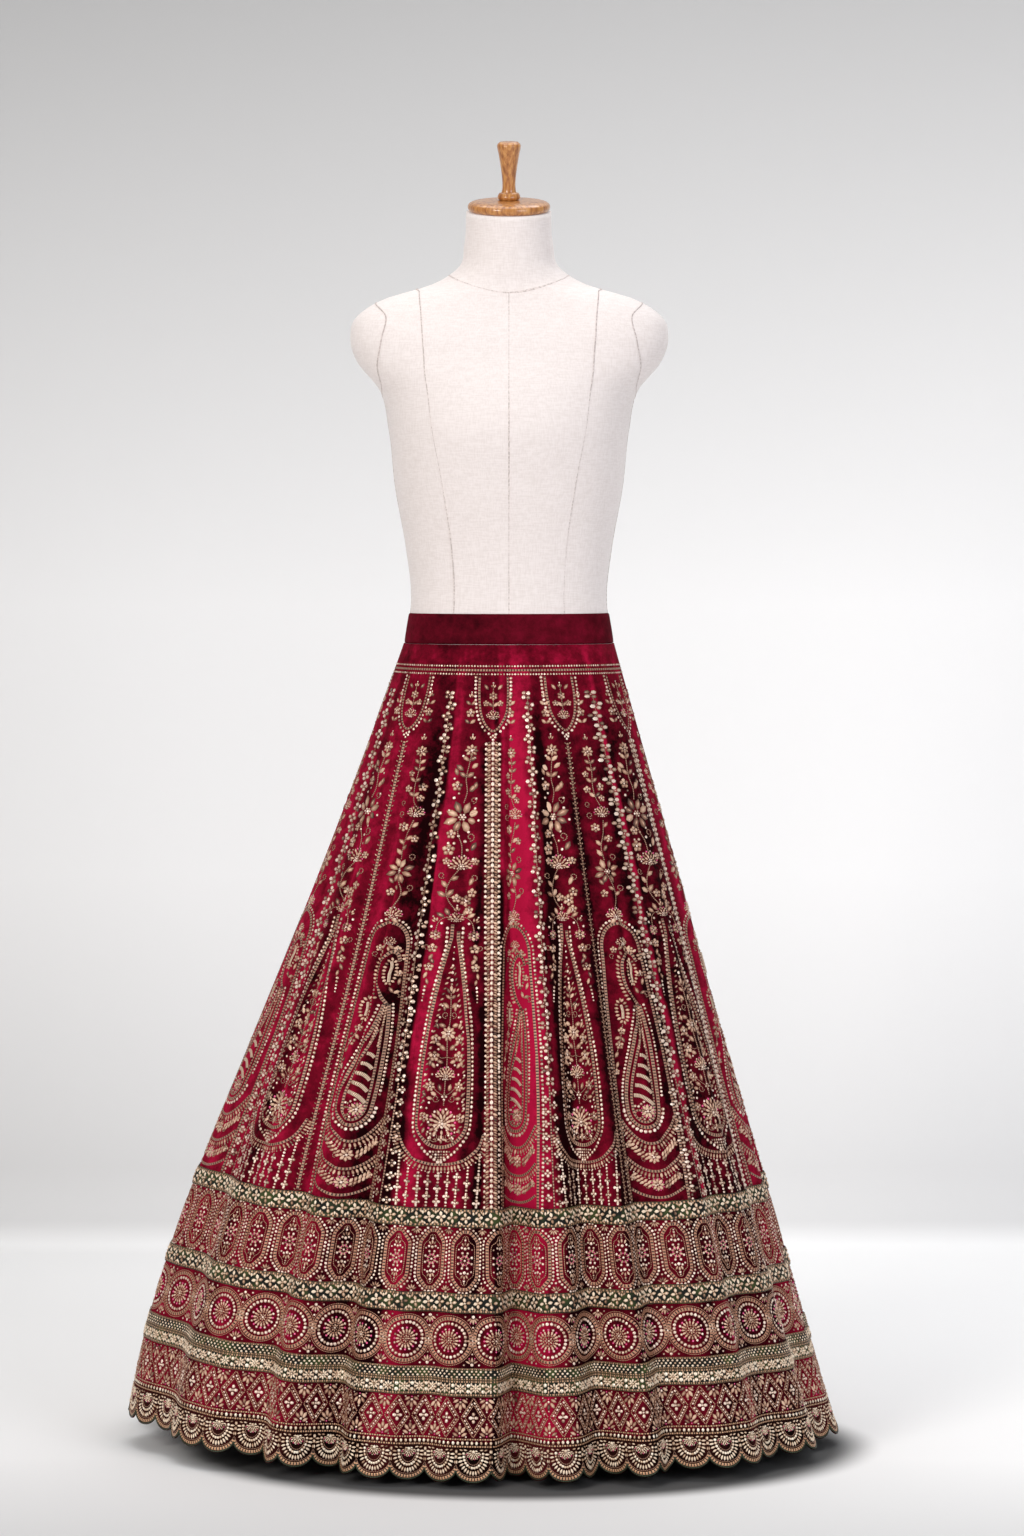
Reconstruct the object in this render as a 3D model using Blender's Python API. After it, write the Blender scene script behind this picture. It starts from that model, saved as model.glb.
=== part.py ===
"""A lehenga skirt hung on a limbless dress form.

The skirt is an eighteen-gore (kali) flare that hangs from a fitted belt. Each gore is sewn to its
neighbours and to a stack of border bands; flat tapes cover the border seams, and the hem is cut in
scallops. The dress form is a smooth torso with a turned wooden cap, on a pole and a round base.

Frame: metres, +Z up, the wearer's front faces -Y, origin at the middle of the base's underside.
A place on the cloth is given by `share`, the part of the way round from the centre-front seam, and
`drop`, the distance down the cloth from the belt seam.
"""

import math

import bpy
import numpy as np

# ---------------------------------------------------------------- driving sizes, in metres
SKIRT_DROP = 1.002  # down the cloth, belt seam to the tips of the scallops
BELT_SEAM_HEIGHT = 0.976
BELT_WIDTH = 0.037
CLOTH = 0.0020  # velvet with its embroidery backing
TAPE = 0.0012
SEAM_GAP = 0.0003
TAPE_GAP = 0.0004
FORM_CLEARANCE = 0.0005  # between the form and the belt

# Reach of the hem from the form's axis, on the ridges between folds.
HEM_RIGHT = 0.404
HEM_LEFT = 0.466
HEM_FRONT = 0.350
HEM_BACK = 0.360
HEM_ROUNDNESS = 2.3  # 2 is an ellipse, more is squarer
HEM_TURN = math.radians(7.0)  # the hem is swung this far: its right side forward, its left side back
SIDE_BULGE = 0.19  # how far the sides bow out between belt and hem
LEFT_BULGE = 0.34  # added on the left, taken off on the right
FRONT_SEAM_OFFSET = -0.018  # the centre-front seam hangs this far to the side of the form's axis

# Folds: where the cloth falls back between its ridges. Each row has the angle from the front
# towards +X in degrees, the depth at the hem in metres, and the reach in degrees to the near and
# to the far side.
FOLDS = (
    (0.5, 0.052, 4.0, 9.0),
    (19.5, 0.042, 7.5, 7.0),
    (32.5, 0.030, 6.0, 9.0),
    (54.0, 0.016, 9.0, 8.0),
    (72.0, 0.020, 9.0, 9.0),
    (91.0, 0.030, 8.0, 10.0),
    (110.0, 0.038, 8.0, 7.0),
    (127.0, 0.028, 7.0, 9.0),
    (145.0, 0.042, 8.0, 7.0),
    (160.0, 0.024, 6.0, 8.0),
    (177.0, 0.040, 8.0, 8.0),
    (195.0, 0.026, 7.0, 9.0),
    (213.0, 0.042, 8.0, 7.0),
    (229.0, 0.028, 7.0, 8.0),
    (247.0, 0.036, 8.0, 9.0),
    (267.0, 0.022, 9.0, 8.0),
    (289.0, 0.018, 9.0, 8.0),
    (309.5, 0.026, 7.0, 6.5),
    (323.0, 0.036, 6.0, 7.5),
    (343.0, 0.012, 6.0, 6.0),
)

# Borders: distances up the cloth from the scallop tips.
SCALLOP_SEAM = 0.047
BORDER_SEAM_3 = 0.1100
BORDER_SEAM_2 = 0.2080
BORDER_SEAM_1 = 0.3075
SCALLOPS = 70
SCALLOP_RISE = 0.0135
# Ribbons: name, low edge and high edge, measured up the cloth.
TAPES = (
    ("tape_flowered", 0.1000, 0.1185),
    ("tape_dotted", 0.1188, 0.1325),
    ("tape_middle", 0.1965, 0.2195),
    ("tape_top", 0.2965, 0.3185),
)

# Dress form: half sizes of its level sections, bottom to neck.
FORM_COLUMNS = ("height", "half_width", "front", "back", "roundness", "lean")
FORM = (
    (0.742, 0.120, 0.090, 0.090, 2.2, 0.000),
    (0.750, 0.142, 0.106, 0.106, 2.2, 0.000),
    (0.790, 0.156, 0.116, 0.114, 2.2, 0.000),
    (0.850, 0.152, 0.112, 0.110, 2.2, 0.000),
    (0.920, 0.136, 0.101, 0.101, 2.2, 0.000),
    (0.976, 0.126, 0.096, 0.094, 2.2, 0.000),
    (1.030, 0.119, 0.093, 0.088, 2.2, 0.000),
    (1.090, 0.125, 0.099, 0.092, 2.2, 0.000),
    (1.170, 0.139, 0.119, 0.100, 2.2, 0.000),
    (1.235, 0.146, 0.131, 0.104, 2.2, 0.000),
    (1.285, 0.158, 0.118, 0.106, 2.3, 0.000),
    (1.320, 0.186, 0.102, 0.102, 2.4, 0.000),
    (1.348, 0.194, 0.092, 0.096, 2.4, 0.000),
    (1.376, 0.184, 0.078, 0.087, 2.3, 0.000),
    (1.396, 0.150, 0.067, 0.076, 2.2, 0.002),
    (1.412, 0.096, 0.059, 0.066, 2.0, 0.005),
    (1.430, 0.065, 0.056, 0.058, 2.0, 0.009),
    (1.462, 0.054, 0.053, 0.053, 2.0, 0.015),
    (1.500, 0.0515, 0.0515, 0.0515, 2.0, 0.022),
)
NECK_TILT = math.radians(11.0)
NECK_TILT_START = 1.405

# Turned pieces: radius and height above the piece's own foot.
CAP_PROFILE = (
    (0.0460, 0.0000),
    (0.0490, 0.0020),
    (0.0500, 0.0060),
    (0.0480, 0.0100),
    (0.0400, 0.0128),
    (0.0170, 0.0140),
)
FINIAL_PROFILE = (
    (0.0118, 0.0000),
    (0.0138, 0.0035),
    (0.0118, 0.0080),
    (0.0088, 0.0100),
    (0.0080, 0.0200),
    (0.0094, 0.0350),
    (0.0122, 0.0530),
    (0.0142, 0.0630),
    (0.0140, 0.0670),
    (0.0110, 0.0700),
)
POLE_RADIUS = 0.016
BASE_RADIUS = 0.170
BASE_PROFILE = (
    (BASE_RADIUS, 0.0000),
    (BASE_RADIUS, 0.0080),
    (0.160, 0.0130),
    (0.060, 0.0200),
    (0.030, 0.0280),
    (0.028, 0.0450),
)

# Facets
FACETS_ROUND = 120
# Seams between gores, as facets round from the centre front. Most gores are seven facets wide, and
# those of the front left quarter are six.
GORE_SEAMS = (0, 6, 12, 18, 25, 32, 39, 45, 52, 59, 65, 72, 79, 85, 92, 99, 106, 113, 120)
FACETS_PER_SCALLOP = 4
GORE_ROWS = (0.07, 0.22, 0.40, 0.56)  # drops of the rows inside a gore
FORM_FACETS = 42
TURNED_FACETS = 24

# ---------------------------------------------------------------- colours (linear) and finishes
VELVET = (0.180, 0.004, 0.018)
EMBROIDERED_VELVET = (0.200, 0.060, 0.045)
OLIVE_TAPE = (0.110, 0.100, 0.040)
ANTIQUE_GOLD = (0.300, 0.170, 0.100)
LINEN = (0.800, 0.740, 0.720)
TEAK = (0.450, 0.210, 0.070)
BLACK_ENAMEL = (0.015, 0.015, 0.016)


def material(name, colour, roughness, metallic=0.0):
    made = bpy.data.materials.new(name)
    made.use_nodes = True
    shader = made.node_tree.nodes["Principled BSDF"]
    shader.inputs["Base Color"].default_value = (*colour, 1.0)
    shader.inputs["Roughness"].default_value = roughness
    shader.inputs["Metallic"].default_value = metallic
    return made


# ---------------------------------------------------------------- outlines
def polar_outline(angle, right, left, front, back, roundness):
    """Distance from the axis to a rounded outline whose four half sizes differ."""
    across = np.where(np.sin(angle) >= 0, right, left)
    deep = np.where(np.cos(angle) >= 0, front, back)
    power = np.abs(np.sin(angle) / across) ** roundness + np.abs(np.cos(angle) / deep) ** roundness
    return power ** (-1.0 / roundness)


def eased_column(heights, values, at):
    """A table's column between its rows: a cubic through every row, with the slope of its neighbours."""
    slopes = np.gradient(values, heights)
    row = np.clip(np.searchsorted(heights, at, side="right") - 1, 0, len(heights) - 2)
    span = heights[row + 1] - heights[row]
    t = (at - heights[row]) / span
    return (
        (2 * t**3 - 3 * t**2 + 1) * values[row]
        + (t**3 - 2 * t**2 + t) * span * slopes[row]
        + (3 * t**2 - 2 * t**3) * values[row + 1]
        + (t**3 - t**2) * span * slopes[row + 1]
    )


def form_sizes(at):
    """Half width, front, back, roundness and lean of the dress form at these heights."""
    table = np.array(FORM)
    return [eased_column(table[:, 0], table[:, column], at) for column in range(1, len(FORM_COLUMNS))]


def form_radius(angle, height):
    width, front, back, roundness, _ = form_sizes(height)
    return polar_outline(angle, width, width, front, back, roundness)


def fold_depth(angle):
    """How far the folds pull the hem in at this angle: a raised cosine on each fold's two sides."""
    degrees = np.degrees(angle)
    depth = np.zeros_like(degrees)
    for centre, deep, near_side, far_side in FOLDS:
        away = (degrees - centre + 180.0) % 360.0 - 180.0
        side = np.where(away < 0, near_side, far_side)
        depth += deep * np.cos(0.5 * math.pi * np.clip(away / side, -1, 1)) ** 2
    return depth


# ---------------------------------------------------------------- the cloth's surface
class Cloth:
    """The inner face of the skirt as points over angle and drop, with the way out of the cloth.

    Every line down the cloth keeps its length, so a side that reaches further out hangs less far
    down. The folds then fall straight in from that outline. The surface is kept at a few rows and
    runs straight between them, so that whatever is laid on a panel lies flat on its facets.
    """

    ANGLES = 1440
    STEPS = 401

    def __init__(self):
        seams = (BORDER_SEAM_1, BORDER_SEAM_2, BORDER_SEAM_3, SCALLOP_SEAM, 0.0)
        self.rows = (0.0, *GORE_ROWS, *(SKIRT_DROP - seam for seam in seams))
        self.angle = np.linspace(-math.pi, math.pi, self.ANGLES + 1)
        drop = np.linspace(0.0, SKIRT_DROP, self.STEPS)
        waist = form_radius(self.angle, np.full_like(self.angle, BELT_SEAM_HEIGHT)) + FORM_CLEARANCE
        swung = self.angle + HEM_TURN
        hem = polar_outline(swung, HEM_RIGHT, HEM_LEFT, HEM_FRONT, HEM_BACK, HEM_ROUNDNESS)
        down = (drop / SKIRT_DROP)[:, None]
        bow = (SIDE_BULGE - LEFT_BULGE * np.sin(self.angle)) * down**3 * (1 - down)
        flare = waist + (hem - waist) * (down + bow)
        step = np.diff(drop)[:, None]
        fall = np.sqrt(step**2 - np.diff(flare, axis=0) ** 2)
        height = BELT_SEAM_HEIGHT - np.vstack([np.zeros_like(waist), np.cumsum(fall, axis=0)])
        radius = flare - fold_depth(self.angle) * down
        points = np.stack([radius * np.sin(self.angle), -radius * np.cos(self.angle), height], -1)
        along = np.gradient(points, axis=1)
        along[:, 0] = along[:, -1] = points[:, 1] - points[:, -2]
        out = np.cross(np.gradient(points, axis=0), along)
        out[0, :, 2] = 0.0  # the top edge butts up to the belt
        out /= np.linalg.norm(out, axis=-1, keepdims=True)
        kept = [int(round(row / SKIRT_DROP * (self.STEPS - 1))) for row in self.rows]
        self.points, self.out = points[kept], out[kept]

    def on_row(self, number, shares):
        """Points, outward directions and girth on one kept row, at these shares of the way round."""
        points, out = self.points[number], self.out[number]
        length = np.r_[0.0, np.cumsum(np.linalg.norm(np.diff(points, axis=0), axis=1))]
        seam_angle = FRONT_SEAM_OFFSET / np.linalg.norm(points[self.ANGLES // 2, :2])
        start = np.interp(seam_angle, self.angle, length)
        at = (start + np.asarray(shares) * length[-1]) % length[-1]
        found = np.stack([np.interp(at, length, points[:, axis]) for axis in range(3)], -1)
        ways = np.stack([np.interp(at, length, out[:, axis]) for axis in range(3)], -1)
        return found, ways / np.linalg.norm(ways, axis=-1, keepdims=True), length[-1]

    def row(self, drop, shares):
        """The same at any drop: straight from the kept row above it to the one below."""
        lower = min(int(np.searchsorted(self.rows, drop, side="right")), len(self.rows) - 1)
        part = (drop - self.rows[lower - 1]) / (self.rows[lower] - self.rows[lower - 1])
        above, below = self.on_row(lower - 1, shares), self.on_row(lower, shares)
        return [(1 - part) * high + part * low for high, low in zip(above, below)]


def layer(cloth, drops, shares, lift):
    """A grid of points on the cloth, moved out by lift: a row for each drop, a column for each share."""
    rows = []
    for drop in drops:
        points, ways, _ = cloth.row(drop, shares)
        rows.append(points + lift * ways)
    return np.array(rows)


# ---------------------------------------------------------------- walls
def grid_faces(rows, columns, joined, first, flipped, crossed=None):
    """Triangles of a grid of points that starts at index first; joined closes it on itself.

    crossed marks the quads that are split along their other diagonal.
    """
    faces = []
    for r in range(rows - 1):
        for c in range(columns if joined else columns - 1):
            near = first + r * columns + c
            far = first + r * columns + (c + 1) % columns
            corners = [near, near + columns, far + columns, far]
            if crossed is not None and crossed[r, c]:
                corners = corners[1:] + corners[:1]
            for triangle in ((corners[0], corners[1], corners[2]), (corners[0], corners[2], corners[3])):
                faces.append(triangle[::-1] if flipped else triangle)
    return faces


def quads_to_cross(outer, inner, bowed_out):
    """Which quads of a wall bow out, or in, when they are split along their other diagonal."""
    far = np.roll(outer, -1, axis=1)
    falling = outer[:-1] + far[1:]
    rising = outer[1:] + far[:-1]
    rise = np.sum((rising - falling) * (outer - inner)[:-1], axis=-1)
    return (rise > 0) == bowed_out


def strip_faces(outer, inner, joined, flipped=False):
    """Triangles between two lines of point indices that run side by side."""
    faces = []
    count = len(outer)
    for i in range(count if joined else count - 1):
        j = (i + 1) % count
        for triangle in ((outer[i], outer[j], inner[j]), (outer[i], inner[j], inner[i])):
            faces.append(triangle[::-1] if flipped else triangle)
    return faces


def wall(name, outer, inner, joined, finish, bowed_out=False):
    """A closed cloth wall between two grids of points; rows run down and columns run round.

    Twisted quads are split so that panels bow in and what lies on them bows out, clear of them.
    """
    rows, columns = outer.shape[:2]
    count = rows * columns
    crossed = quads_to_cross(outer, inner, bowed_out)
    faces = grid_faces(rows, columns, joined, 0, False, crossed)
    faces += grid_faces(rows, columns, joined, count, True, crossed)
    top = np.arange(columns)
    bottom = top + (rows - 1) * columns
    faces += strip_faces(list(top), list(top + count), joined)
    faces += strip_faces(list(bottom + count), list(bottom), joined)
    if not joined:
        left = np.arange(rows) * columns
        right = left + columns - 1
        faces += strip_faces(list(left), list(left + count), False, flipped=True)
        faces += strip_faces(list(right), list(right + count), False)
    vertices = np.concatenate([outer.reshape(-1, 3), inner.reshape(-1, 3)])
    return mesh_object(name, vertices, faces, finish)


def mesh_object(name, vertices, faces, finish, smooth=True):
    mesh = bpy.data.meshes.new(name)
    mesh.from_pydata([tuple(map(float, v)) for v in vertices], [], [tuple(map(int, f)) for f in faces])
    mesh.validate()
    if smooth:
        mesh.shade_smooth()
        mesh.set_sharp_from_angle(angle=math.radians(50))
    mesh.materials.append(finish)
    made = bpy.data.objects.new(name, mesh)
    bpy.context.scene.collection.objects.link(made)
    return made


# ---------------------------------------------------------------- skirt
def seam_rows(top, bottom, between=()):
    """Drops of a wall's rows, held half a seam gap away from both its seams."""
    return (top + SEAM_GAP / 2, *between, bottom - SEAM_GAP / 2)


def make_gores(cloth, finish):
    """Eighteen flared gores: paisley and arch embroidery take turns."""
    foot = SKIRT_DROP - BORDER_SEAM_1
    for gore, (start, end) in enumerate(zip(GORE_SEAMS[:-1], GORE_SEAMS[1:])):
        drops = seam_rows(0.0, foot, GORE_ROWS)
        outer, inner = [], []
        for drop in drops:
            _, _, girth = cloth.row(drop, [0.0])
            shares = np.arange(start, end + 1) / FACETS_ROUND
            shares[[0, -1]] += np.array([1, -1]) * SEAM_GAP / 2 / girth
            points, ways, _ = cloth.row(drop, shares)
            inner.append(points)
            outer.append(points + CLOTH * ways)
        kind = "paisley" if gore % 2 == 0 else "arch"
        wall(f"gore_{gore + 1:02d}_{kind}", np.array(outer), np.array(inner), False, finish)


def make_borders(cloth, finish):
    """Three straight border bands, each one loop of cloth."""
    shares = np.arange(FACETS_ROUND) / FACETS_ROUND
    seams = (BORDER_SEAM_1, BORDER_SEAM_2, BORDER_SEAM_3, SCALLOP_SEAM)
    for number, (upper, lower) in enumerate(zip(seams, seams[1:]), start=1):
        drops = seam_rows(SKIRT_DROP - upper, SKIRT_DROP - lower)
        inner = layer(cloth, drops, shares, 0.0)
        outer = layer(cloth, drops, shares, CLOTH)
        wall(f"border_{number}", outer, inner, True, finish)


def make_tapes(cloth, finish):
    """Woven tapes sewn flat over the border seams."""
    shares = np.arange(FACETS_ROUND) / FACETS_ROUND
    for name, low, high in TAPES:
        seams = [seam for seam in (BORDER_SEAM_1, BORDER_SEAM_2, BORDER_SEAM_3) if low < seam < high]
        drops = [SKIRT_DROP - up for up in (high, *seams, low)]
        inner = layer(cloth, drops, shares, CLOTH + TAPE_GAP)
        outer = layer(cloth, drops, shares, CLOTH + TAPE_GAP + TAPE)
        wall(name, outer, inner, True, finish, bowed_out=True)


def make_scalloped_hem(cloth, finish):
    """The hem band. Its lower edge is a row of round scallops: each is a half circle pressed flat."""
    shares = np.arange(FACETS_ROUND) / FACETS_ROUND
    on_scallops = np.arange(SCALLOPS * FACETS_PER_SCALLOP) / FACETS_PER_SCALLOP / SCALLOPS
    fine = np.unique(np.round(np.r_[on_scallops, shares] * FACETS_ROUND, 9))
    across = (fine / FACETS_ROUND * SCALLOPS) % 1.0 * 2.0 - 1.0
    rise = SCALLOP_RISE * (1.0 - np.sqrt(np.clip(1.0 - across**2, 0.0, 1.0)))
    top, bottom = SKIRT_DROP - SCALLOP_SEAM + SEAM_GAP / 2, SKIRT_DROP
    part = 1.0 - rise / (bottom - top)

    def edges(lift):
        """The seam edge and the scalloped edge, on the flat facets of the bands above."""
        upper, lower = (grid[0] for grid in np.split(layer(cloth, (top, bottom), shares, lift), 2))
        left = fine.astype(int)
        right = (left + 1) % FACETS_ROUND
        mix = (fine - left)[:, None]
        upper = (1 - mix) * upper[left] + mix * upper[right]
        lower = (1 - mix) * lower[left] + mix * lower[right]
        return np.array([upper, upper + part[:, None] * (lower - upper)])

    wall("scalloped_hem", edges(CLOTH), edges(0.0), True, finish)


def make_belt(finish):
    """The fitted belt, which grips the form's waist."""
    angle = np.linspace(0.0, 2 * math.pi, FORM_FACETS, endpoint=False)
    heights = (BELT_SEAM_HEIGHT + BELT_WIDTH, BELT_SEAM_HEIGHT + BELT_WIDTH / 2, BELT_SEAM_HEIGHT + SEAM_GAP)

    def rings(lift):
        grid = []
        for height in heights:
            radius = form_radius(angle, np.full_like(angle, height)) + FORM_CLEARANCE + lift
            level = np.full_like(angle, height)
            grid.append(np.stack([radius * np.sin(angle), -radius * np.cos(angle), level], -1))
        return np.array(grid)

    wall("belt", rings(CLOTH), rings(0.0), True, finish)


# ---------------------------------------------------------------- dress form
def neck_frame(height):
    """How far a section of the neck is tipped forward, in radians."""
    return NECK_TILT * np.clip((height - NECK_TILT_START) / (FORM[-1][0] - NECK_TILT_START), 0.0, 1.0)


def form_section(height, facets):
    """One closed section of the form, tipped forward in the neck."""
    angle = np.linspace(0.0, 2 * math.pi, facets, endpoint=False)
    radius = form_radius(angle, np.full_like(angle, height))
    lean = form_sizes(np.array([height]))[-1][0]
    tilt = neck_frame(height)
    forward = radius * np.cos(angle)
    return np.stack(
        [radius * np.sin(angle), -lean - forward * math.cos(tilt), height - forward * math.sin(tilt)], -1
    )


def capped_loft(name, sections, finish):
    """A closed solid through a stack of sections, with a flat face at each end."""
    facets = len(sections[0])
    vertices = np.concatenate(sections)
    faces = grid_faces(len(sections), facets, True, 0, True)
    low = len(vertices)
    vertices = np.vstack([vertices, sections[0].mean(axis=0), sections[-1].mean(axis=0)])
    last = (len(sections) - 1) * facets
    for i in range(facets):
        j = (i + 1) % facets
        faces.append((low, j, i))
        faces.append((low + 1, last + i, last + j))
    return mesh_object(name, vertices, faces, finish)


def make_torso(finish):
    """The padded torso in one piece, from its flat underside to the top of the neck."""
    heights = sorted(
        {row[0] for row in FORM}
        | {BELT_SEAM_HEIGHT + SEAM_GAP, BELT_SEAM_HEIGHT + BELT_WIDTH / 2, BELT_SEAM_HEIGHT + BELT_WIDTH}
    )
    sections = [form_section(height, FORM_FACETS) for height in heights]
    return capped_loft("form_torso", sections, finish)


def turned(name, profile, foot, tilt, finish):
    """A turned piece: its profile spun round its own axis, which is tipped forward by tilt."""
    angle = np.linspace(0.0, 2 * math.pi, TURNED_FACETS, endpoint=False)
    sections = []
    for radius, rise in profile:
        forward = radius * np.cos(angle)
        sections.append(
            np.stack(
                [
                    radius * np.sin(angle),
                    foot[1] - forward * math.cos(tilt) - rise * math.sin(tilt),
                    foot[2] - forward * math.sin(tilt) + rise * math.cos(tilt),
                ],
                -1,
            )
        )
    return capped_loft(name, sections, finish)


def above(foot, rise, tilt):
    """The point this far up a tipped axis from foot."""
    return (foot[0], foot[1] - rise * math.sin(tilt), foot[2] + rise * math.cos(tilt))


def make_form(linen, wood, enamel):
    make_torso(linen)
    neck_top = FORM[-1][0]
    lean = FORM[-1][-1]
    cap_foot = above((0.0, -lean, neck_top), SEAM_GAP, NECK_TILT)
    turned("neck_cap", CAP_PROFILE, cap_foot, NECK_TILT, wood)
    finial_foot = above(cap_foot, CAP_PROFILE[-1][1] + SEAM_GAP, NECK_TILT)
    turned("neck_finial", FINIAL_PROFILE, finial_foot, NECK_TILT, wood)
    turned("stand_base", BASE_PROFILE, (0.0, 0.0, 0.0), 0.0, enamel)
    pole_foot = BASE_PROFILE[-1][1] + SEAM_GAP
    pole_top = FORM[0][0] - SEAM_GAP
    pole = ((POLE_RADIUS, 0.0), (POLE_RADIUS, pole_top - pole_foot))
    turned("stand_pole", pole, (0.0, 0.0, pole_foot), 0.0, enamel)


# ---------------------------------------------------------------- the object
for old in list(bpy.data.objects):
    bpy.data.objects.remove(old)

cloth = Cloth()
velvet = material("crimson_velvet", VELVET, 0.85)
embroidered = material("embroidered_velvet", EMBROIDERED_VELVET, 0.7)
tape = material("olive_gold_tape", OLIVE_TAPE, 0.6)
gold_edge = material("antique_gold_embroidery", ANTIQUE_GOLD, 0.55, 0.3)
linen = material("form_linen", LINEN, 0.9)
teak = material("turned_teak", TEAK, 0.35)
enamel = material("black_enamel", BLACK_ENAMEL, 0.4)

make_gores(cloth, velvet)
make_borders(cloth, embroidered)
make_tapes(cloth, tape)
make_scalloped_hem(cloth, gold_edge)
make_belt(embroidered)
make_form(linen, teak, enamel)
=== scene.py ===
"""The looks of a lehenga skirt on a limbless dress form: crimson velvet worked all over in zari."""
import math

import bpy
import numpy as np
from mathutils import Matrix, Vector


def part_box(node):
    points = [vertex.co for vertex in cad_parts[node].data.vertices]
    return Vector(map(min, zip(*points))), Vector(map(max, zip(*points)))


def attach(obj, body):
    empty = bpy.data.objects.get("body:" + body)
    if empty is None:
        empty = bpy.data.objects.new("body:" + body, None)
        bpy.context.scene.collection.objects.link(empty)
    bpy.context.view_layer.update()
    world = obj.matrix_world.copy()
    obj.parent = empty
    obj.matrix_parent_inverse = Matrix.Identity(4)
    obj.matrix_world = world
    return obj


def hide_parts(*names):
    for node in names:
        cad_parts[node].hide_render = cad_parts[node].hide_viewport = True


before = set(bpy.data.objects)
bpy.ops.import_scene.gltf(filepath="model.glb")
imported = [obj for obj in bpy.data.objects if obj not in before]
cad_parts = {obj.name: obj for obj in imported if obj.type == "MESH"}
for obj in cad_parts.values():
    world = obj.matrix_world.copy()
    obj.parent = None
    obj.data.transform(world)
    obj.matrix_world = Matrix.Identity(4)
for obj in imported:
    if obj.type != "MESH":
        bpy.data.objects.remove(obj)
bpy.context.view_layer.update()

# ================================================================ steel pole and round base
# The stand is a steel tube welded to a heavy pressed-steel base, both sprayed with satin enamel.
# Enamel gives a smooth black skin with a soft, broad shine and a faint orange-peel ripple.


def paint(code):
    """An sRGB hex colour as linear red, green, blue and alpha."""
    channels = [int(code[i : i + 2], 16) / 255 for i in (1, 3, 5)]
    linear = [c / 12.92 if c <= 0.04045 else ((c + 0.055) / 1.055) ** 2.4 for c in channels]
    return (*linear, 1.0)


def finish(name, **sockets):
    """An empty material with a Principled shader whose sockets hold the given values."""
    made = bpy.data.materials.new(name)
    made.use_nodes = True
    shader = made.node_tree.nodes["Principled BSDF"]
    for socket, value in sockets.items():
        shader.inputs[socket.replace("_", " ")].default_value = value
    return made, made.node_tree, shader


def node(tree, kind, links=None, **settings):
    """Add one shader node with its settings; links feeds its sockets with outputs or with values."""
    made = tree.nodes.new(kind)
    for name, value in settings.items():
        setattr(made, name, value)
    for socket, source in (links or {}).items():
        if isinstance(source, bpy.types.NodeSocket):
            tree.links.new(source, made.inputs[socket])
        else:
            made.inputs[socket].default_value = source
    return made


def emboss(tree, shader, height, strength, distance):
    """Relief from a height map: strength from 0 to 1, distance in metres."""
    relief = node(tree, "ShaderNodeBump", {"Height": height, "Strength": strength, "Distance": distance})
    tree.links.new(relief.outputs["Normal"], shader.inputs["Normal"])


def make_mesh(name, points, faces, material, uv=None, **attributes):
    """A smooth mesh from arrays: points (n, 3), faces (m, 3 or 4), uv per point, floats per point."""
    mesh = bpy.data.meshes.new(name)
    faces = np.asarray(faces, dtype=np.int32)
    corners = faces.shape[1]
    mesh.vertices.add(len(points))
    mesh.vertices.foreach_set("co", np.asarray(points, dtype=np.float32).ravel())
    mesh.loops.add(faces.size)
    mesh.loops.foreach_set("vertex_index", faces.ravel())
    mesh.polygons.add(len(faces))
    mesh.polygons.foreach_set("loop_start", np.arange(0, faces.size, corners, dtype=np.int32))
    mesh.update(calc_edges=True)
    mesh.polygons.foreach_set("use_smooth", np.full(len(faces), True))
    if uv is not None:
        layer = mesh.uv_layers.new(name="run")
        layer.data.foreach_set("uv", np.asarray(uv, dtype=np.float32)[faces.ravel()].ravel())
    for attribute, values in attributes.items():
        stored = mesh.attributes.new(attribute, "FLOAT", "POINT")
        stored.data.foreach_set("value", np.asarray(values, dtype=np.float32))
    mesh.materials.append(material)
    made = bpy.data.objects.new(name, mesh)
    bpy.context.scene.collection.objects.link(made)
    return made


def grid_quads(rows, columns, joined=True):
    """Quads of a grid of points numbered row by row; joined closes each row on itself."""
    row, column = np.meshgrid(np.arange(rows - 1), np.arange(columns - (not joined)), indexing="ij")
    near = row * columns + column
    far = row * columns + (column + 1) % columns
    return np.stack([near, near + columns, far + columns, far], -1).reshape(-1, 4)


TURNED_STEPS, TURNED_SIDES = 10, 96


def turned(name, profile, foot, tilt, material):
    """A turned piece: its profile, eased between its rows, is spun round an axis tipped forward.

    A point at radius r, rise h and angle a is (r sin a, -r cos a, h), then tipped by tilt about X.
    """
    profile = np.asarray(profile, dtype=float)
    rows = np.arange(len(profile))
    fine = np.linspace(0, len(profile) - 1, (len(profile) - 1) * TURNED_STEPS + 1)
    radius, rise = (np.maximum(eased(rows, profile[:, k], fine), 0.0) for k in (0, 1))
    radius = np.r_[0.0, radius, 0.0]
    rise = np.r_[rise[0], rise, rise[-1]]
    angle = np.linspace(0, 2 * math.pi, TURNED_SIDES, endpoint=False)
    forward = radius[:, None] * np.cos(angle)
    x = radius[:, None] * np.sin(angle)
    y = foot[1] - forward * math.cos(tilt) - rise[:, None] * math.sin(tilt)
    z = foot[2] - forward * math.sin(tilt) + rise[:, None] * math.cos(tilt)
    points = np.stack([x, y, z], -1).reshape(-1, 3)
    quads = grid_quads(len(radius), len(angle))[:, ::-1]
    return make_mesh(name, points, quads, material)


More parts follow.
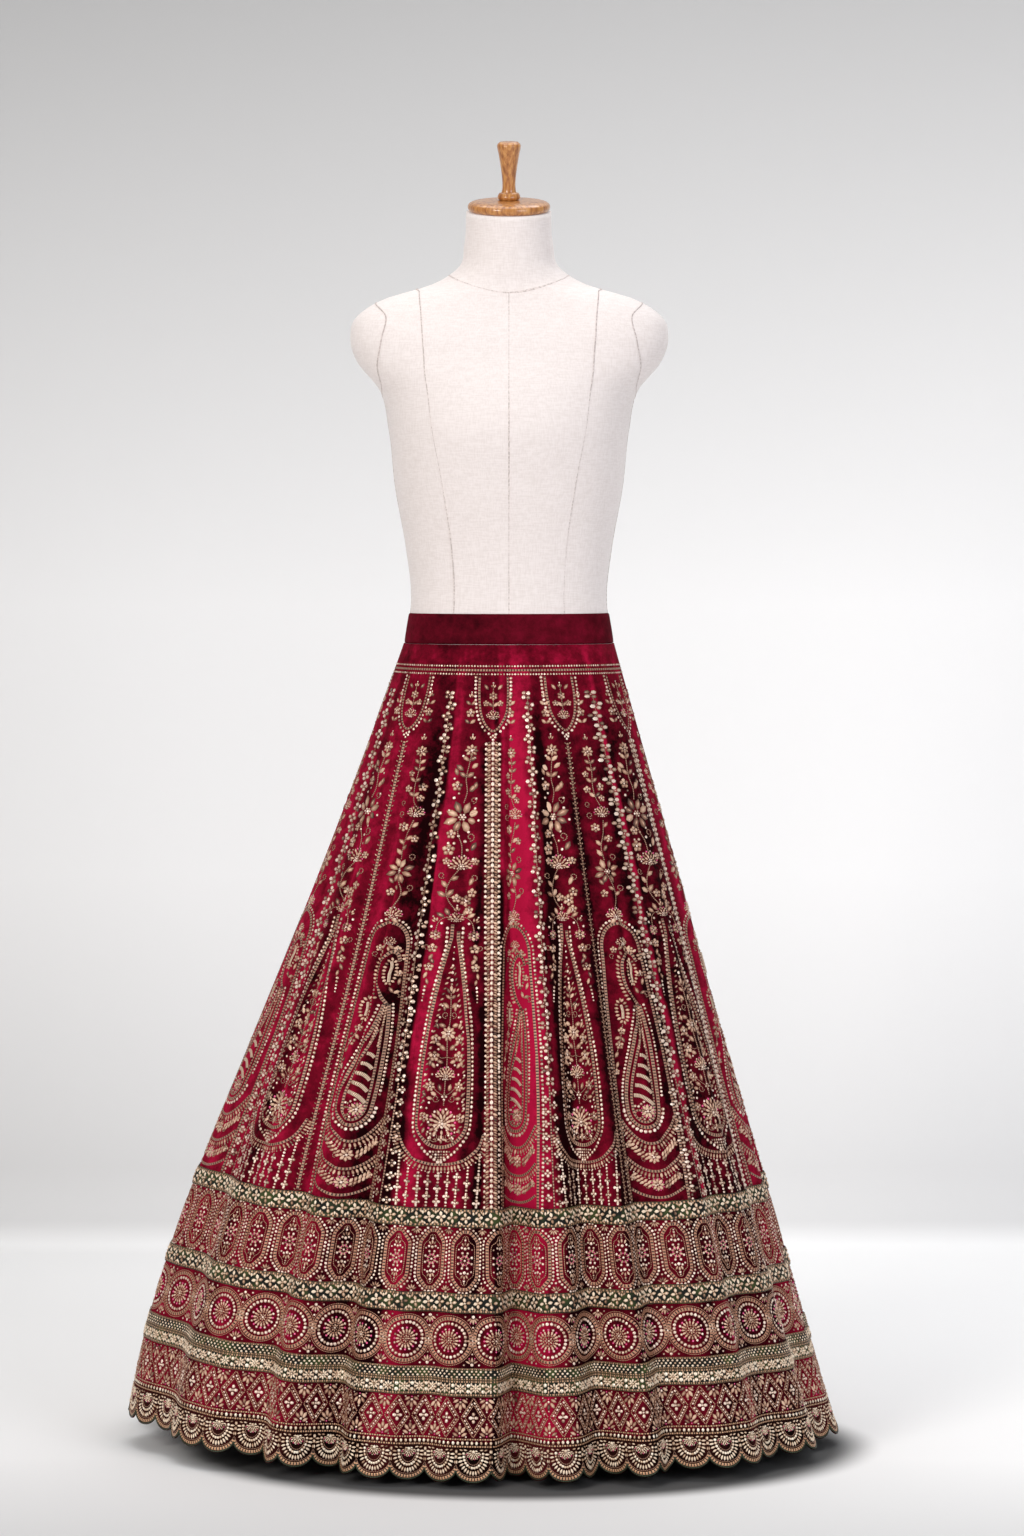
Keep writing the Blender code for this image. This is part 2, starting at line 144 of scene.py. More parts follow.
def eased(places, values, at):
    """Values between table rows: a cubic through every row, sloped as its neighbours are."""
    slopes = np.gradient(values, places)
    row = np.clip(np.searchsorted(places, at, side="right") - 1, 0, len(places) - 2)
    span = places[row + 1] - places[row]
    t = (at - places[row]) / span
    return (
        (2 * t**3 - 3 * t**2 + 1) * values[row]
        + (t**3 - 2 * t**2 + t) * span * slopes[row]
        + (3 * t**2 - 2 * t**3) * values[row + 1]
        + (t**3 - t**2) * span * slopes[row + 1]
    )


enamel, tree, shader = finish("satin_black_enamel", Base_Color=paint("#141415"), Roughness=0.34)
where = node(tree, "ShaderNodeTexCoord").outputs["Object"]
ripple = node(tree, "ShaderNodeTexNoise", {"Vector": where, "Scale": 350.0, "Detail": 2.0})
emboss(tree, shader, ripple.outputs["Fac"], 0.12, 0.0004)
worn = node(
    tree, "ShaderNodeMapRange", {"Value": ripple.outputs["Fac"], "To Min": 0.28, "To Max": 0.42}
)
tree.links.new(worn.outputs["Result"], shader.inputs["Roughness"])

BASE_RADIUS = 0.170
POLE_RADIUS = 0.016
BASE_PROFILE = (
    (BASE_RADIUS - 0.004, 0.0),
    (BASE_RADIUS, 0.002),
    (BASE_RADIUS, 0.0080),
    (0.160, 0.0130),
    (0.060, 0.0200),
    (0.030, 0.0280),
    (0.028, 0.0430),
    (0.026, 0.0450),
)
pole_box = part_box("stand_pole")
pole_profile = ((POLE_RADIUS, 0.0), (POLE_RADIUS, pole_box[1][2] - pole_box[0][2]))
stand_base = turned("base_disc", BASE_PROFILE, (0, 0, 0), 0.0, enamel)
stand_pole = turned("pole_tube", pole_profile, (0, 0, pole_box[0][2]), 0.0, enamel)
for piece, replaced in ((stand_base, "stand_base"), (stand_pole, "stand_pole")):
    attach(piece, "root")
    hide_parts(replaced)

# ================================================================ padded linen torso
# The dress form's body is wadding over a moulded shell, covered in off-white linen cut in panels.
# Linen is matt, with slubs that catch the light; each panel seam is a fine stitched ridge.

# Each row: height, half width, depth in front, depth behind, roundness and lean forward.
FORM = np.array(
    (
        (0.742, 0.120, 0.090, 0.090, 2.2, 0.000),
        (0.750, 0.142, 0.106, 0.106, 2.2, 0.000),
        (0.790, 0.156, 0.116, 0.114, 2.2, 0.000),
        (0.850, 0.152, 0.112, 0.110, 2.2, 0.000),
        (0.920, 0.136, 0.101, 0.101, 2.2, 0.000),
        (0.976, 0.126, 0.096, 0.094, 2.2, 0.000),
        (1.030, 0.119, 0.093, 0.088, 2.2, 0.000),
        (1.090, 0.125, 0.099, 0.092, 2.2, 0.000),
        (1.170, 0.139, 0.119, 0.100, 2.2, 0.000),
        (1.235, 0.146, 0.131, 0.104, 2.2, 0.000),
        (1.285, 0.158, 0.118, 0.106, 2.3, 0.000),
        (1.320, 0.186, 0.102, 0.102, 2.4, 0.000),
        (1.348, 0.194, 0.092, 0.096, 2.4, 0.000),
        (1.376, 0.184, 0.078, 0.087, 2.3, 0.000),
        (1.396, 0.150, 0.067, 0.076, 2.2, 0.002),
        (1.412, 0.096, 0.059, 0.066, 2.0, 0.005),
        (1.430, 0.065, 0.056, 0.058, 2.0, 0.009),
        (1.462, 0.054, 0.053, 0.053, 2.0, 0.015),
        (1.500, 0.0515, 0.0515, 0.0515, 2.0, 0.022),
    )
)
NECK_TILT = math.radians(11.0)
NECK_TILT_START = 1.405
TORSO_ROWS = 140
TORSO_COLUMNS = 160


def outline(angle, right, left, front, back, roundness):
    """Distance from the axis to a rounded outline: a superellipse with four half sizes."""
    across = np.where(np.sin(angle) >= 0, right, left)
    deep = np.where(np.cos(angle) >= 0, front, back)
    power = np.abs(np.sin(angle) / across) ** roundness + np.abs(np.cos(angle) / deep) ** roundness
    return power ** (-1.0 / roundness)


def form_point(angle, height, lift=0.0):
    """A point on the torso: its section's outline, tipped forward in the neck, lifted outwards."""
    width, front, back, roundness, lean = (eased(FORM[:, 0], FORM[:, k], height) for k in range(1, 6))
    radius = outline(angle, width, width, front, back, roundness) + lift
    tilt = NECK_TILT * np.clip((height - NECK_TILT_START) / (FORM[-1, 0] - NECK_TILT_START), 0, 1)
    forward = radius * np.cos(angle)
    return np.stack(
        [radius * np.sin(angle), -lean - forward * np.cos(tilt), height - forward * np.sin(tilt)], -1
    )


def ramp(tree, source, *stops):
    """The colour that source picks between stops, each a place from 0 to 1 and an sRGB hex code."""
    made = node(tree, "ShaderNodeValToRGB", {"Fac": source})
    elements = made.color_ramp.elements
    for element, (place, code) in zip(elements, (stops[0], stops[-1])):
        element.position = place
        element.color = paint(code)
    for place, code in stops[1:-1]:
        elements.new(place).color = paint(code)
    return made.outputs["Color"]


linen, tree, shader = finish("off_white_linen", Roughness=0.92, Sheen_Weight=0.25, Sheen_Roughness=0.5)
where = node(tree, "ShaderNodeTexCoord").outputs["Object"]
# Slubs: linen yarn about 0.6 mm thick, drawn at 1.6 mm so that it shows.
warp_scale = node(tree, "ShaderNodeMapping", {"Vector": where, "Scale": (620.0, 620.0, 90.0)})
weft_scale = node(tree, "ShaderNodeMapping", {"Vector": where, "Scale": (90.0, 90.0, 620.0)})
warp = node(tree, "ShaderNodeTexNoise", {"Vector": warp_scale.outputs[0], "Scale": 1.0, "Detail": 1.0})
weft = node(tree, "ShaderNodeTexNoise", {"Vector": weft_scale.outputs[0], "Scale": 1.0, "Detail": 1.0})
weave = node(tree, "ShaderNodeMath", {0: warp.outputs["Fac"], 1: weft.outputs["Fac"]}, operation="ADD")
yarn = node(tree, "ShaderNodeMath", {0: weave.outputs[0], 1: 0.5}, operation="MULTIPLY")
tint = ramp(tree, yarn.outputs[0], (0.36, "#E6DCD8"), (0.62, "#F0E7E4"))
tree.links.new(tint, shader.inputs["Base Color"])
emboss(tree, shader, weave.outputs[0], 0.16, 0.0006)

height = np.linspace(FORM[0, 0], FORM[-1, 0], TORSO_ROWS)[:, None]
angle = np.linspace(0, 2 * math.pi, TORSO_COLUMNS, endpoint=False)[None, :]
# Wadding is never quite even: a soft swell of half a millimetre.
swell = 0.0005 * np.sin(3 * angle + 9 * height) * np.sin(22 * height)
skin = form_point(angle + 0 * height, height + 0 * angle, swell)
rim_low = np.repeat(skin[:1].mean(axis=1, keepdims=True), TORSO_COLUMNS, axis=1)
rim_high = np.repeat(skin[-1:].mean(axis=1, keepdims=True), TORSO_COLUMNS, axis=1)
skin = np.concatenate([rim_low, skin, rim_high])
torso = make_mesh(
    "linen_torso", skin.reshape(-1, 3), grid_quads(TORSO_ROWS + 2, TORSO_COLUMNS)[:, ::-1], linen
)
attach(torso, "root")
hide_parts("form_torso")

# Panel seams: each is a row of (degrees from the front, height) that the seam passes through.
FORM_SEAMS = {
    "centre_front": ((0, 0.990), (0, 1.10), (0, 1.20), (0, 1.30), (0, 1.3995)),
    "centre_back": ((180, 0.990), (180, 1.10), (180, 1.20), (180, 1.30), (180, 1.3995)),
    "princess": (
        (40, 0.990), (39, 1.08), (38.5, 1.17), (41, 1.235), (46.5, 1.30),
        (52, 1.35), (60.5, 1.385), (71, 1.402), (90, 1.4074),
    ),
    "back_dart": (
        (143, 0.990), (144, 1.08), (144, 1.17), (140, 1.245), (133.5, 1.30),
        (128, 1.35), (119.5, 1.385), (109, 1.402), (90, 1.4074),
    ),
    "side": ((90, 0.990), (90, 1.07), (90, 1.15), (90, 1.22), (90, 1.272)),
    "shoulder_cap": (
        (90, 1.274), (76, 1.288), (69, 1.315), (67, 1.345), (71, 1.375),
        (90, 1.391), (111, 1.375), (115, 1.345), (110, 1.312), (102, 1.288), (90, 1.274),
    ),
}
SEAM_WIDTH = 0.0018
SEAM_RISE = 0.0006
SEAM_FOOT = -0.0003
SEAM_STEPS = 90
NECK_SEAM_HEIGHT = 1.412
NECK_SEAM_SAG = 0.012


def seam_strip(rows, mirrored):
    """A ridge along a seam: its rows eased into a path, then three lines, the middle one raised."""
    rows = np.asarray(rows, dtype=float)
    fine = np.linspace(0, len(rows) - 1, SEAM_STEPS)
    turn = np.radians(eased(np.arange(len(rows)), rows[:, 0], fine)) * (-1 if mirrored else 1)
    level = eased(np.arange(len(rows)), rows[:, 1], fine)
    middle = form_point(turn, level, SEAM_RISE)
    out = form_point(turn, level, 0.01) - form_point(turn, level)
    side = np.cross(np.gradient(middle, axis=0), out)
    side *= 0.5 * SEAM_WIDTH / np.linalg.norm(side, axis=-1, keepdims=True)
    foot = form_point(turn, level, SEAM_FOOT)
    return np.stack([foot - side, middle, foot + side], axis=1)


strips = [seam_strip(rows, False) for rows in FORM_SEAMS.values()]
strips += [seam_strip(FORM_SEAMS[key], True) for key in ("princess", "back_dart", "side", "shoulder_cap")]
# The neck seam dips at the front and the back and rises over the shoulders.
ring_angle = np.linspace(0, 2 * math.pi, SEAM_STEPS)
ring_level = NECK_SEAM_HEIGHT - NECK_SEAM_SAG * np.cos(2 * ring_angle)
neck_ring = np.stack(
    [form_point(ring_angle, ring_level + shift, rise)
     for shift, rise in ((-0.0012, -0.0002), (0.0, SEAM_RISE), (0.0012, -0.0002))], axis=1
)
strips.append(neck_ring)
seam_points = np.concatenate([strip.reshape(-1, 3) for strip in strips])
one_seam = grid_quads(SEAM_STEPS, 3, joined=False)
seam_quads = np.concatenate([one_seam + 3 * SEAM_STEPS * k for k in range(len(strips))])
seam_thread, tree, shader = finish("stitched_linen_seam", Roughness=0.95)
where = node(tree, "ShaderNodeTexCoord").outputs["Object"]
# The seam thread is mottled lighter and darker by a noise.
seam_mottle = node(tree, "ShaderNodeTexNoise", {"Vector": where, "Scale": 420.0, "Detail": 1.0})
tint = ramp(tree, seam_mottle.outputs["Fac"], (0.42, "#C6B9B5"), (0.58, "#E6DAD6"))
tree.links.new(tint, shader.inputs["Base Color"])
panel_seams = make_mesh("panel_seams", seam_points, seam_quads, seam_thread)
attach(panel_seams, "root")

# ================================================================ turned neck cap and finial
# Both are turned from one plank of teak and varnished; the finial is pegged into the cap.
# Varnish gives a clear bright coat over honey wood whose dark grain runs up the finial.
CAP_PROFILE = (
    (0.0460, 0.0000),
    (0.0490, 0.0020),
    (0.0500, 0.0060),
    (0.0480, 0.0100),
    (0.0400, 0.0128),
    (0.0170, 0.0140),
)
FINIAL_PROFILE = (
    (0.0118, 0.0000),
    (0.0138, 0.0035),
    (0.0118, 0.0080),
    (0.0088, 0.0100),
    (0.0080, 0.0200),
    (0.0094, 0.0350),
    (0.0122, 0.0530),
    (0.0142, 0.0630),
    (0.0140, 0.0670),
    (0.0110, 0.0700),
)
PEG_GAP = 0.0003  # between the neck and the cap, and between the cap and the finial
teak, tree, shader = finish(
    "varnished_teak", Roughness=0.38, Coat_Weight=0.7, Coat_Roughness=0.12, IOR=1.5
)
where = node(tree, "ShaderNodeTexCoord").outputs["Object"]
stretched = node(tree, "ShaderNodeMapping", {"Vector": where, "Scale": (260.0, 260.0, 34.0)})
grain = node(tree, "ShaderNodeTexNoise", {"Vector": stretched.outputs[0], "Scale": 1.0, "Detail": 5.0,
                                          "Roughness": 0.62})
tint = ramp(tree, grain.outputs["Fac"], (0.34, "#8A4F1E"), (0.5, "#B8783A"), (0.66, "#D29A56"))
tree.links.new(tint, shader.inputs["Base Color"])
emboss(tree, shader, grain.outputs["Fac"], 0.15, 0.0003)


def above(foot, rise, tilt):
    """The point this far up a tipped axis from foot."""
    return (foot[0], foot[1] - rise * math.sin(tilt), foot[2] + rise * math.cos(tilt))


cap_foot = above((0.0, -FORM[-1, 5], FORM[-1, 0]), PEG_GAP, NECK_TILT)
finial_foot = above(cap_foot, CAP_PROFILE[-1][1] + PEG_GAP, NECK_TILT)
cap = turned("teak_cap", CAP_PROFILE, cap_foot, NECK_TILT, teak)
finial = turned("teak_finial", FINIAL_PROFILE, finial_foot, NECK_TILT, teak)
for piece, replaced in ((cap, "neck_cap"), (finial, "neck_finial")):
    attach(piece, "root")
    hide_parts(replaced)

# ================================================================ crimson velvet gores
# Eighteen flared gores of cotton-silk velvet are seamed into one tube and eased onto the belt.
# Painted sheen and shade: the velvet is painted bright crimson on one flank of each fold and maroon on the
# other.
SKIRT_DROP = 1.002
BELT_SEAM_HEIGHT = 0.976
FORM_CLEARANCE = 0.0005
CLOTH = 0.0020
HEM_RIGHT, HEM_LEFT, HEM_FRONT, HEM_BACK = 0.404, 0.466, 0.350, 0.360
HEM_ROUNDNESS = 2.3
HEM_TURN = math.radians(7.0)
SIDE_BULGE, LEFT_BULGE = 0.19, 0.34
FRONT_SEAM_OFFSET = -0.018
BORDER_TOP = 0.3075  # heights up the cloth are measured from the tips of the scallops
GORE_TOP = 1.0015
SCALLOP_SEAM = 0.047

# Seams between gores as shares of the girth from the centre front, and the flare's end.
GORE_SEAMS = np.array(
    (0, 6, 12, 18, 25, 32, 39, 45, 52, 59, 65, 72, 79, 85, 92, 98.6, 105.3, 112.5, 120)
) / 120

# Folds: degrees from the front, depth at the hem, reach in degrees to each side.
FOLDS = (
    (0.5, 0.052, 4.0, 9.0),
    (19.5, 0.042, 7.5, 7.0),
    (32.5, 0.030, 6.0, 9.0),
    (54.0, 0.016, 9.0, 8.0),
    (72.0, 0.020, 9.0, 9.0),
    (91.0, 0.030, 8.0, 10.0),
    (110.0, 0.038, 8.0, 7.0),
    (127.0, 0.028, 7.0, 9.0),
    (145.0, 0.042, 8.0, 7.0),
    (160.0, 0.024, 6.0, 8.0),
    (177.0, 0.040, 8.0, 8.0),
    (195.0, 0.026, 7.0, 9.0),
    (213.0, 0.042, 8.0, 7.0),
    (229.0, 0.028, 7.0, 8.0),
    (247.0, 0.036, 8.0, 9.0),
    (267.0, 0.022, 9.0, 8.0),
    (289.0, 0.018, 9.0, 8.0),
    (309.5, 0.026, 7.0, 6.5),
    (323.0, 0.036, 6.0, 7.5),
    (343.0, 0.012, 6.0, 6.0),
)
# Creases: soft troughs (-) and ridges (+) between the folds.
# degrees from the front, depth, reach in degrees, height up the cloth of the low and high ends
CREASES = (
    (-7.0, -0.004, 2.2, 0.10, 0.62),
    (7.5, 0.004, 2.5, 0.02, 0.50),
    (13.0, -0.004, 2.0, 0.30, 0.85),
    (26.0, 0.004, 2.6, 0.05, 0.60),
    (41.0, -0.005, 2.4, 0.25, 0.80),
    (47.0, 0.004, 3.0, 0.00, 0.45),
    (63.0, -0.005, 3.0, 0.15, 0.75),
    (82.0, -0.004, 3.0, 0.05, 0.65),
    (101.0, 0.005, 3.0, 0.00, 0.55),
    (119.0, -0.005, 2.8, 0.20, 0.80),
    (136.0, 0.004, 2.6, 0.00, 0.60),
    (152.0, -0.004, 2.4, 0.10, 0.70),
    (168.0, 0.005, 2.6, 0.05, 0.55),
    (186.0, -0.004, 2.6, 0.15, 0.80),
    (204.0, 0.005, 2.8, 0.00, 0.60),
    (221.0, -0.005, 2.6, 0.20, 0.75),
    (238.0, 0.004, 2.8, 0.05, 0.65),
    (257.0, -0.005, 3.0, 0.10, 0.70),
    (278.0, 0.004, 3.0, 0.00, 0.50),
    (298.0, -0.005, 2.6, 0.20, 0.85),
    (303.5, 0.004, 2.2, 0.25, 0.75),
    (316.0, -0.006, 2.4, 0.30, 0.85),
    (330.0, -0.005, 2.2, 0.30, 0.80),
    (336.5, 0.004, 2.4, 0.05, 0.60),
    (349.0, -0.003, 2.4, 0.25, 0.75),
)
GRID_ROWS, GRID_COLUMNS = 400, 2400
TURN_STEPS = 2880
SEAM_GAP = 0.0002  # each panel stops this far from a seam


def troughs(turn, up):
    """How far folds and creases pull the cloth in: a raised cosine across each, easing off at its ends."""
    down = 1.0 - up / SKIRT_DROP
    depth = np.zeros(np.broadcast(turn, up).shape)
    for centre, deep, near_side, far_side in FOLDS:
        away = (np.degrees(turn) - centre + 180.0) % 360.0 - 180.0
        side = np.where(away < 0, near_side, far_side)
        depth = depth + deep * np.cos(0.5 * math.pi * np.clip(away / side, -1, 1)) ** 2 * down
    for centre, rise, reach, low, high in CREASES:
        away = (np.degrees(turn) - centre + 180.0) % 360.0 - 180.0
        along = np.clip((up - 0.5 * (low + high)) / (0.5 * (high - low)), -1, 1)
        ends = np.cos(0.5 * math.pi * along) ** 0.7
        depth = depth - rise * np.cos(0.5 * math.pi * np.clip(away / reach, -1, 1)) ** 2 * ends
    return depth


def hang_skirt():
    """The skirt's inner face as a grid over drop and share of the way round.

    Each line down the cloth keeps its length while it flares from the belt to the hem outline, and
    the folds fall straight in from there. Each row is then spaced evenly by its length, starting at
    the centre-front seam. Returns points, outward directions and the girth of each row.
    """
    turn = np.linspace(-math.pi, math.pi, TURN_STEPS + 1)
    drop = np.linspace(0.0, SKIRT_DROP, GRID_ROWS + 1)[:, None]
    sizes = [eased(FORM[:, 0], FORM[:, k], np.array([BELT_SEAM_HEIGHT]))[0] for k in range(1, 5)]
    waist = outline(turn, sizes[0], sizes[0], sizes[1], sizes[2], sizes[3]) + FORM_CLEARANCE
    hem = outline(turn + HEM_TURN, HEM_RIGHT, HEM_LEFT, HEM_FRONT, HEM_BACK, HEM_ROUNDNESS)
    down = drop / SKIRT_DROP
    bow = (SIDE_BULGE - LEFT_BULGE * np.sin(turn)) * down**3 * (1 - down)
    flare = waist + (hem - waist) * (down + bow)
    fall = np.sqrt(np.diff(drop, axis=0) ** 2 - np.diff(flare, axis=0) ** 2)
    level = BELT_SEAM_HEIGHT - np.vstack([np.zeros_like(turn), np.cumsum(fall, axis=0)])
    radius = flare - troughs(turn[None, :], SKIRT_DROP - drop)
    lines = np.stack([radius * np.sin(turn), -radius * np.cos(turn), level], -1)
    share = np.arange(GRID_COLUMNS) / GRID_COLUMNS
    girths = np.empty(GRID_ROWS + 1)
    points = np.empty((GRID_ROWS + 1, GRID_COLUMNS, 3))
    for row, line in enumerate(lines):
        length = np.r_[0.0, np.cumsum(np.linalg.norm(np.diff(line, axis=0), axis=1))]
        seam_turn = FRONT_SEAM_OFFSET / np.linalg.norm(line[TURN_STEPS // 2, :2])
        at = (np.interp(seam_turn, turn, length) + share * length[-1]) % length[-1]
        girths[row] = length[-1]
        for axis in range(3):
            points[row, :, axis] = np.interp(at, length, line[:, axis])
    along = np.roll(points, -1, axis=1) - np.roll(points, 1, axis=1)
    out = np.cross(np.gradient(points, axis=0), along)
    out /= np.linalg.norm(out, axis=-1, keepdims=True)
    return points, out, girths


skirt_points, skirt_out, skirt_girth = hang_skirt()


def girth_at(up):
    """The skirt's girth at a height up the cloth."""
    place = np.clip((SKIRT_DROP - up) / SKIRT_DROP, 0, 1) * GRID_ROWS
    return np.interp(place, np.arange(GRID_ROWS + 1), skirt_girth)


def on_skirt(share, up, lift):
    """Points on the skirt's inner face moved out by lift: the grid read bilinearly at share and up."""
    row = np.clip((SKIRT_DROP - up) / SKIRT_DROP, 0, 1) * GRID_ROWS
    column = (share % 1.0) * GRID_COLUMNS
    high = np.minimum(row.astype(int), GRID_ROWS - 1)
    left = column.astype(int) % GRID_COLUMNS
    right = (left + 1) % GRID_COLUMNS
    fr = (row - high)[..., None]
    fc = (column - np.floor(column))[..., None]
    lift = np.broadcast_to(lift, row.shape)[..., None]

    def read(grid):
        """The grid's value between its four nearest points, weighted by nearness."""
        upper = (1 - fc) * grid[high, left] + fc * grid[high, right]
        lower = (1 - fc) * grid[high + 1, left] + fc * grid[high + 1, right]
        return (1 - fr) * upper + fr * lower

    return read(skirt_points) + lift * read(skirt_out)


# How bright the velvet is painted, share by share: 0 is painted shade and 1 is painted sheen.
PILE_SHEEN_SHADE = np.array((
    (-0.260, 0.60), (-0.233, 0.72), (-0.180, 0.72), (-0.171, 0.62), (-0.164, 0.34), (-0.158, 0.38),
    (-0.150, 0.70), (-0.105, 0.66), (-0.092, 0.50), (-0.080, 0.38), (-0.0700, 0.12), (-0.0560, 0.05),
    (-0.0530, 0.70), (-0.0440, 0.78), (-0.0390, 0.48), (-0.0200, 0.50), (-0.0110, 0.18), (-0.0050, 0.22),
    (0.0000, 0.46), (0.0030, 0.05), (0.0070, 0.08), (0.0110, 0.85), (0.0330, 0.88), (0.0420, 0.70),
    (0.0530, 0.50), (0.0570, 0.14), (0.0650, 0.10), (0.0860, 0.16), (0.0960, 0.28), (0.1060, 0.14),
    (0.1300, 0.26), (0.1440, 0.05), (0.1490, 0.30), (0.1520, 0.80), (0.1565, 0.72), (0.1600, 0.10),
    (0.1850, 0.12), (0.2080, 0.30), (0.2300, 0.62), (0.2600, 0.15), (0.3000, 0.55), (0.3300, 0.85),
    (0.3600, 0.25), (0.4000, 0.12), (0.4300, 0.60), (0.4600, 0.90), (0.5000, 0.45), (0.5300, 0.12),
    (0.5600, 0.30), (0.5900, 0.80), (0.6200, 0.90), (0.6500, 0.35), (0.6800, 0.12), (0.7150, 0.60),
    (0.7400, 0.70),
))


def pile_lay(share, up):
    """How bright the velvet is painted, 0 to 1: stripes of painted sheen and shade, shifted by the slope of
    the fold.

    The painted stripes wander by two sine waves down the cloth and fade to a middle tone at the belt.
    """
    out = on_skirt(share, up, 1.0) - on_skirt(share, up, 0.0)
    place = on_skirt(share, up, 0.0)
    radial = place[..., :2] / np.linalg.norm(place[..., :2], axis=-1, keepdims=True)
    flank = out[..., 0] * radial[..., 1] - out[..., 1] * radial[..., 0]
    wander = 0.0016 * np.sin(27 * up + 60 * share) + 0.0010 * np.sin(71 * up - 90 * share)
    painted_stripes = np.interp((share + wander + 0.26) % 1.0 - 0.26, PILE_SHEEN_SHADE[:, 0], PILE_SHEEN_SHADE[:, 1])
    painted_stripes = 0.5 + (painted_stripes - 0.5) * np.clip((1.02 - up) / 0.16, 0, 1)
    # The slope of the fold paints the flank turned one way lighter and the other darker: painted light and
    # shade.
    return np.clip(painted_stripes + 0.30 * flank, 0, 1)


def cloth_wall(name, columns, ups, material, outer=CLOTH, inner=0.0, low_edge=None):
    """A closed cloth wall round the skirt: an outer and an inner grid over share and height.

    ups runs down; low_edge, where given, replaces the lowest row's heights, one for each column.
    """
    share = np.arange(columns) / columns
    up = np.repeat(np.asarray(ups, dtype=float)[:, None], columns, axis=1)
    if low_edge is not None:
        part = ((ups[0] - np.asarray(ups)) / (ups[0] - ups[-1]))[:, None]
        up = ups[0] - part * (ups[0] - low_edge(share)[None, :])
    share = np.broadcast_to(share, up.shape)
    faces = on_skirt(share, up, outer), on_skirt(share, up, inner)
    loop = np.concatenate([faces[0], faces[1][::-1]])
    quads = grid_quads(2 * len(up) + 1, columns) % (2 * up.size)
    shares = np.concatenate([share, share[::-1]])
    heights = np.concatenate([up, up[::-1]])
    uv = np.stack([shares * skirt_girth[-1], heights], -1).reshape(-1, 2)
    lay = pile_lay(shares, heights).ravel()
    return make_mesh(name, loop.reshape(-1, 3), quads, material, uv=uv, lay=lay)


def velvet_finish(name, lit, half_lit, deep):
    """Velvet: the lay attribute runs from deep to lit pile, painted shade to painted sheen; crushed patches
    about 20 mm wide are painted lighter and darker.
    """
    made, tree, shader = finish(
        name, Roughness=0.85, Sheen_Weight=0.05, Sheen_Roughness=0.35, Specular_IOR_Level=0.03
    )
    shader.inputs["Sheen Tint"].default_value = paint("#FF4A6A")
    where = node(tree, "ShaderNodeTexCoord").outputs["Object"]
    lay = node(tree, "ShaderNodeAttribute", attribute_name="lay").outputs["Fac"]
    crush = node(tree, "ShaderNodeTexNoise", {"Vector": where, "Scale": 60.0, "Detail": 6.0,
                                              "Roughness": 0.72})
    uneven = node(tree, "ShaderNodeMapRange", {"Value": crush.outputs["Fac"], "From Min": 0.3,
                                               "From Max": 0.7, "To Min": -0.24, "To Max": 0.24})
    mixed = node(tree, "ShaderNodeMath", {0: lay, 1: uneven.outputs["Result"]}, operation="ADD")
    tint = ramp(tree, mixed.outputs[0], (0.10, deep), (0.5, half_lit), (0.90, lit))
    tree.links.new(tint, shader.inputs["Base Color"])
    # Pile tufts stand about 0.5 mm apart; they are drawn at 2 mm so that they show.
    tufts = node(tree, "ShaderNodeTexNoise", {"Vector": where, "Scale": 520.0, "Detail": 2.0})
    emboss(tree, shader, tufts.outputs["Fac"], 0.35, 0.0012)
    return made


velvet = velvet_finish("crimson_silk_velvet", "#B0143C", "#6C081E", "#160103")
gore_velvet = cloth_wall("velvet_gores", 900, np.linspace(GORE_TOP, BORDER_TOP + SEAM_GAP, 30), velvet)
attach(gore_velvet, "root")
gore_names = [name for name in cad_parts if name.startswith("gore_")]
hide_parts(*gore_names)

# ================================================================ embroidered border tiers and hem
# Three bands of the same velvet are joined below the gores, each worked before it is sewn on.
# The last is cut in small scallops, faced, and edged with a dark green cord.
BORDER_SEAM_1, BORDER_SEAM_2, BORDER_SEAM_3 = BORDER_TOP, 0.2080, 0.1100
SCALLOPS = 70
SCALLOP_RISE = 0.0135

tier_heights = {
    "border_1": (BORDER_SEAM_1 - SEAM_GAP, BORDER_SEAM_2 + SEAM_GAP),
    "border_2": (BORDER_SEAM_2 - SEAM_GAP, BORDER_SEAM_3 + SEAM_GAP),
    "border_3": (BORDER_SEAM_3 - SEAM_GAP, SCALLOP_SEAM + SEAM_GAP),
}
worked_velvet = velvet_finish("worked_crimson_velvet", "#980F30", "#5E0819", "#180104")
for tier, (high, low) in tier_heights.items():
    wall = cloth_wall("velvet_" + tier, 960, np.linspace(high, low, 11), worked_velvet)
    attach(wall, "root")
    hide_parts(tier)


def scallop_cut(across):
    """Height of the cut edge over one scallop, across from -1 to 1: part of an ellipse."""
    return SCALLOP_RISE * (1 - np.sqrt(np.maximum(1 - 0.96 * across**2, 0))) / (1 - math.sqrt(0.04))


def scallop_edge(share):
    """Height of the cut edge round the skirt: one scallop after another."""
    return scallop_cut(2 * ((share * SCALLOPS) % 1.0) - 1)


# The scallops are backed with an older, browner velvet that the gold thread nearly hides.
scallop_velvet = velvet_finish("brown_maroon_velvet", "#4A1418", "#2A0F0C", "#0C0403")
hem_velvet = cloth_wall(
    "velvet_scallops", 1680, np.linspace(SCALLOP_SEAM - SEAM_GAP, 0.0, 7), scallop_velvet,
    low_edge=scallop_edge,
)
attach(hem_velvet, "root")
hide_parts("scalloped_hem")

# ================================================================ green ribbons
# Four bands of olive silk ribbon are laid over the tier seams and felled along both edges.
# Silk rep has fine upright ribs and a soft shine that runs with the light.
TAPE = 0.0012
TAPE_GAP = 0.0004
TAPES = {
    "tape_top": (0.3185, 0.2965),
    "tape_middle": (0.2195, 0.1965),
    "tape_dotted": (0.1325, 0.1188),
    "tape_flowered": (0.1185, 0.1000),
}
RIBBON_FACE = CLOTH + TAPE_GAP + TAPE

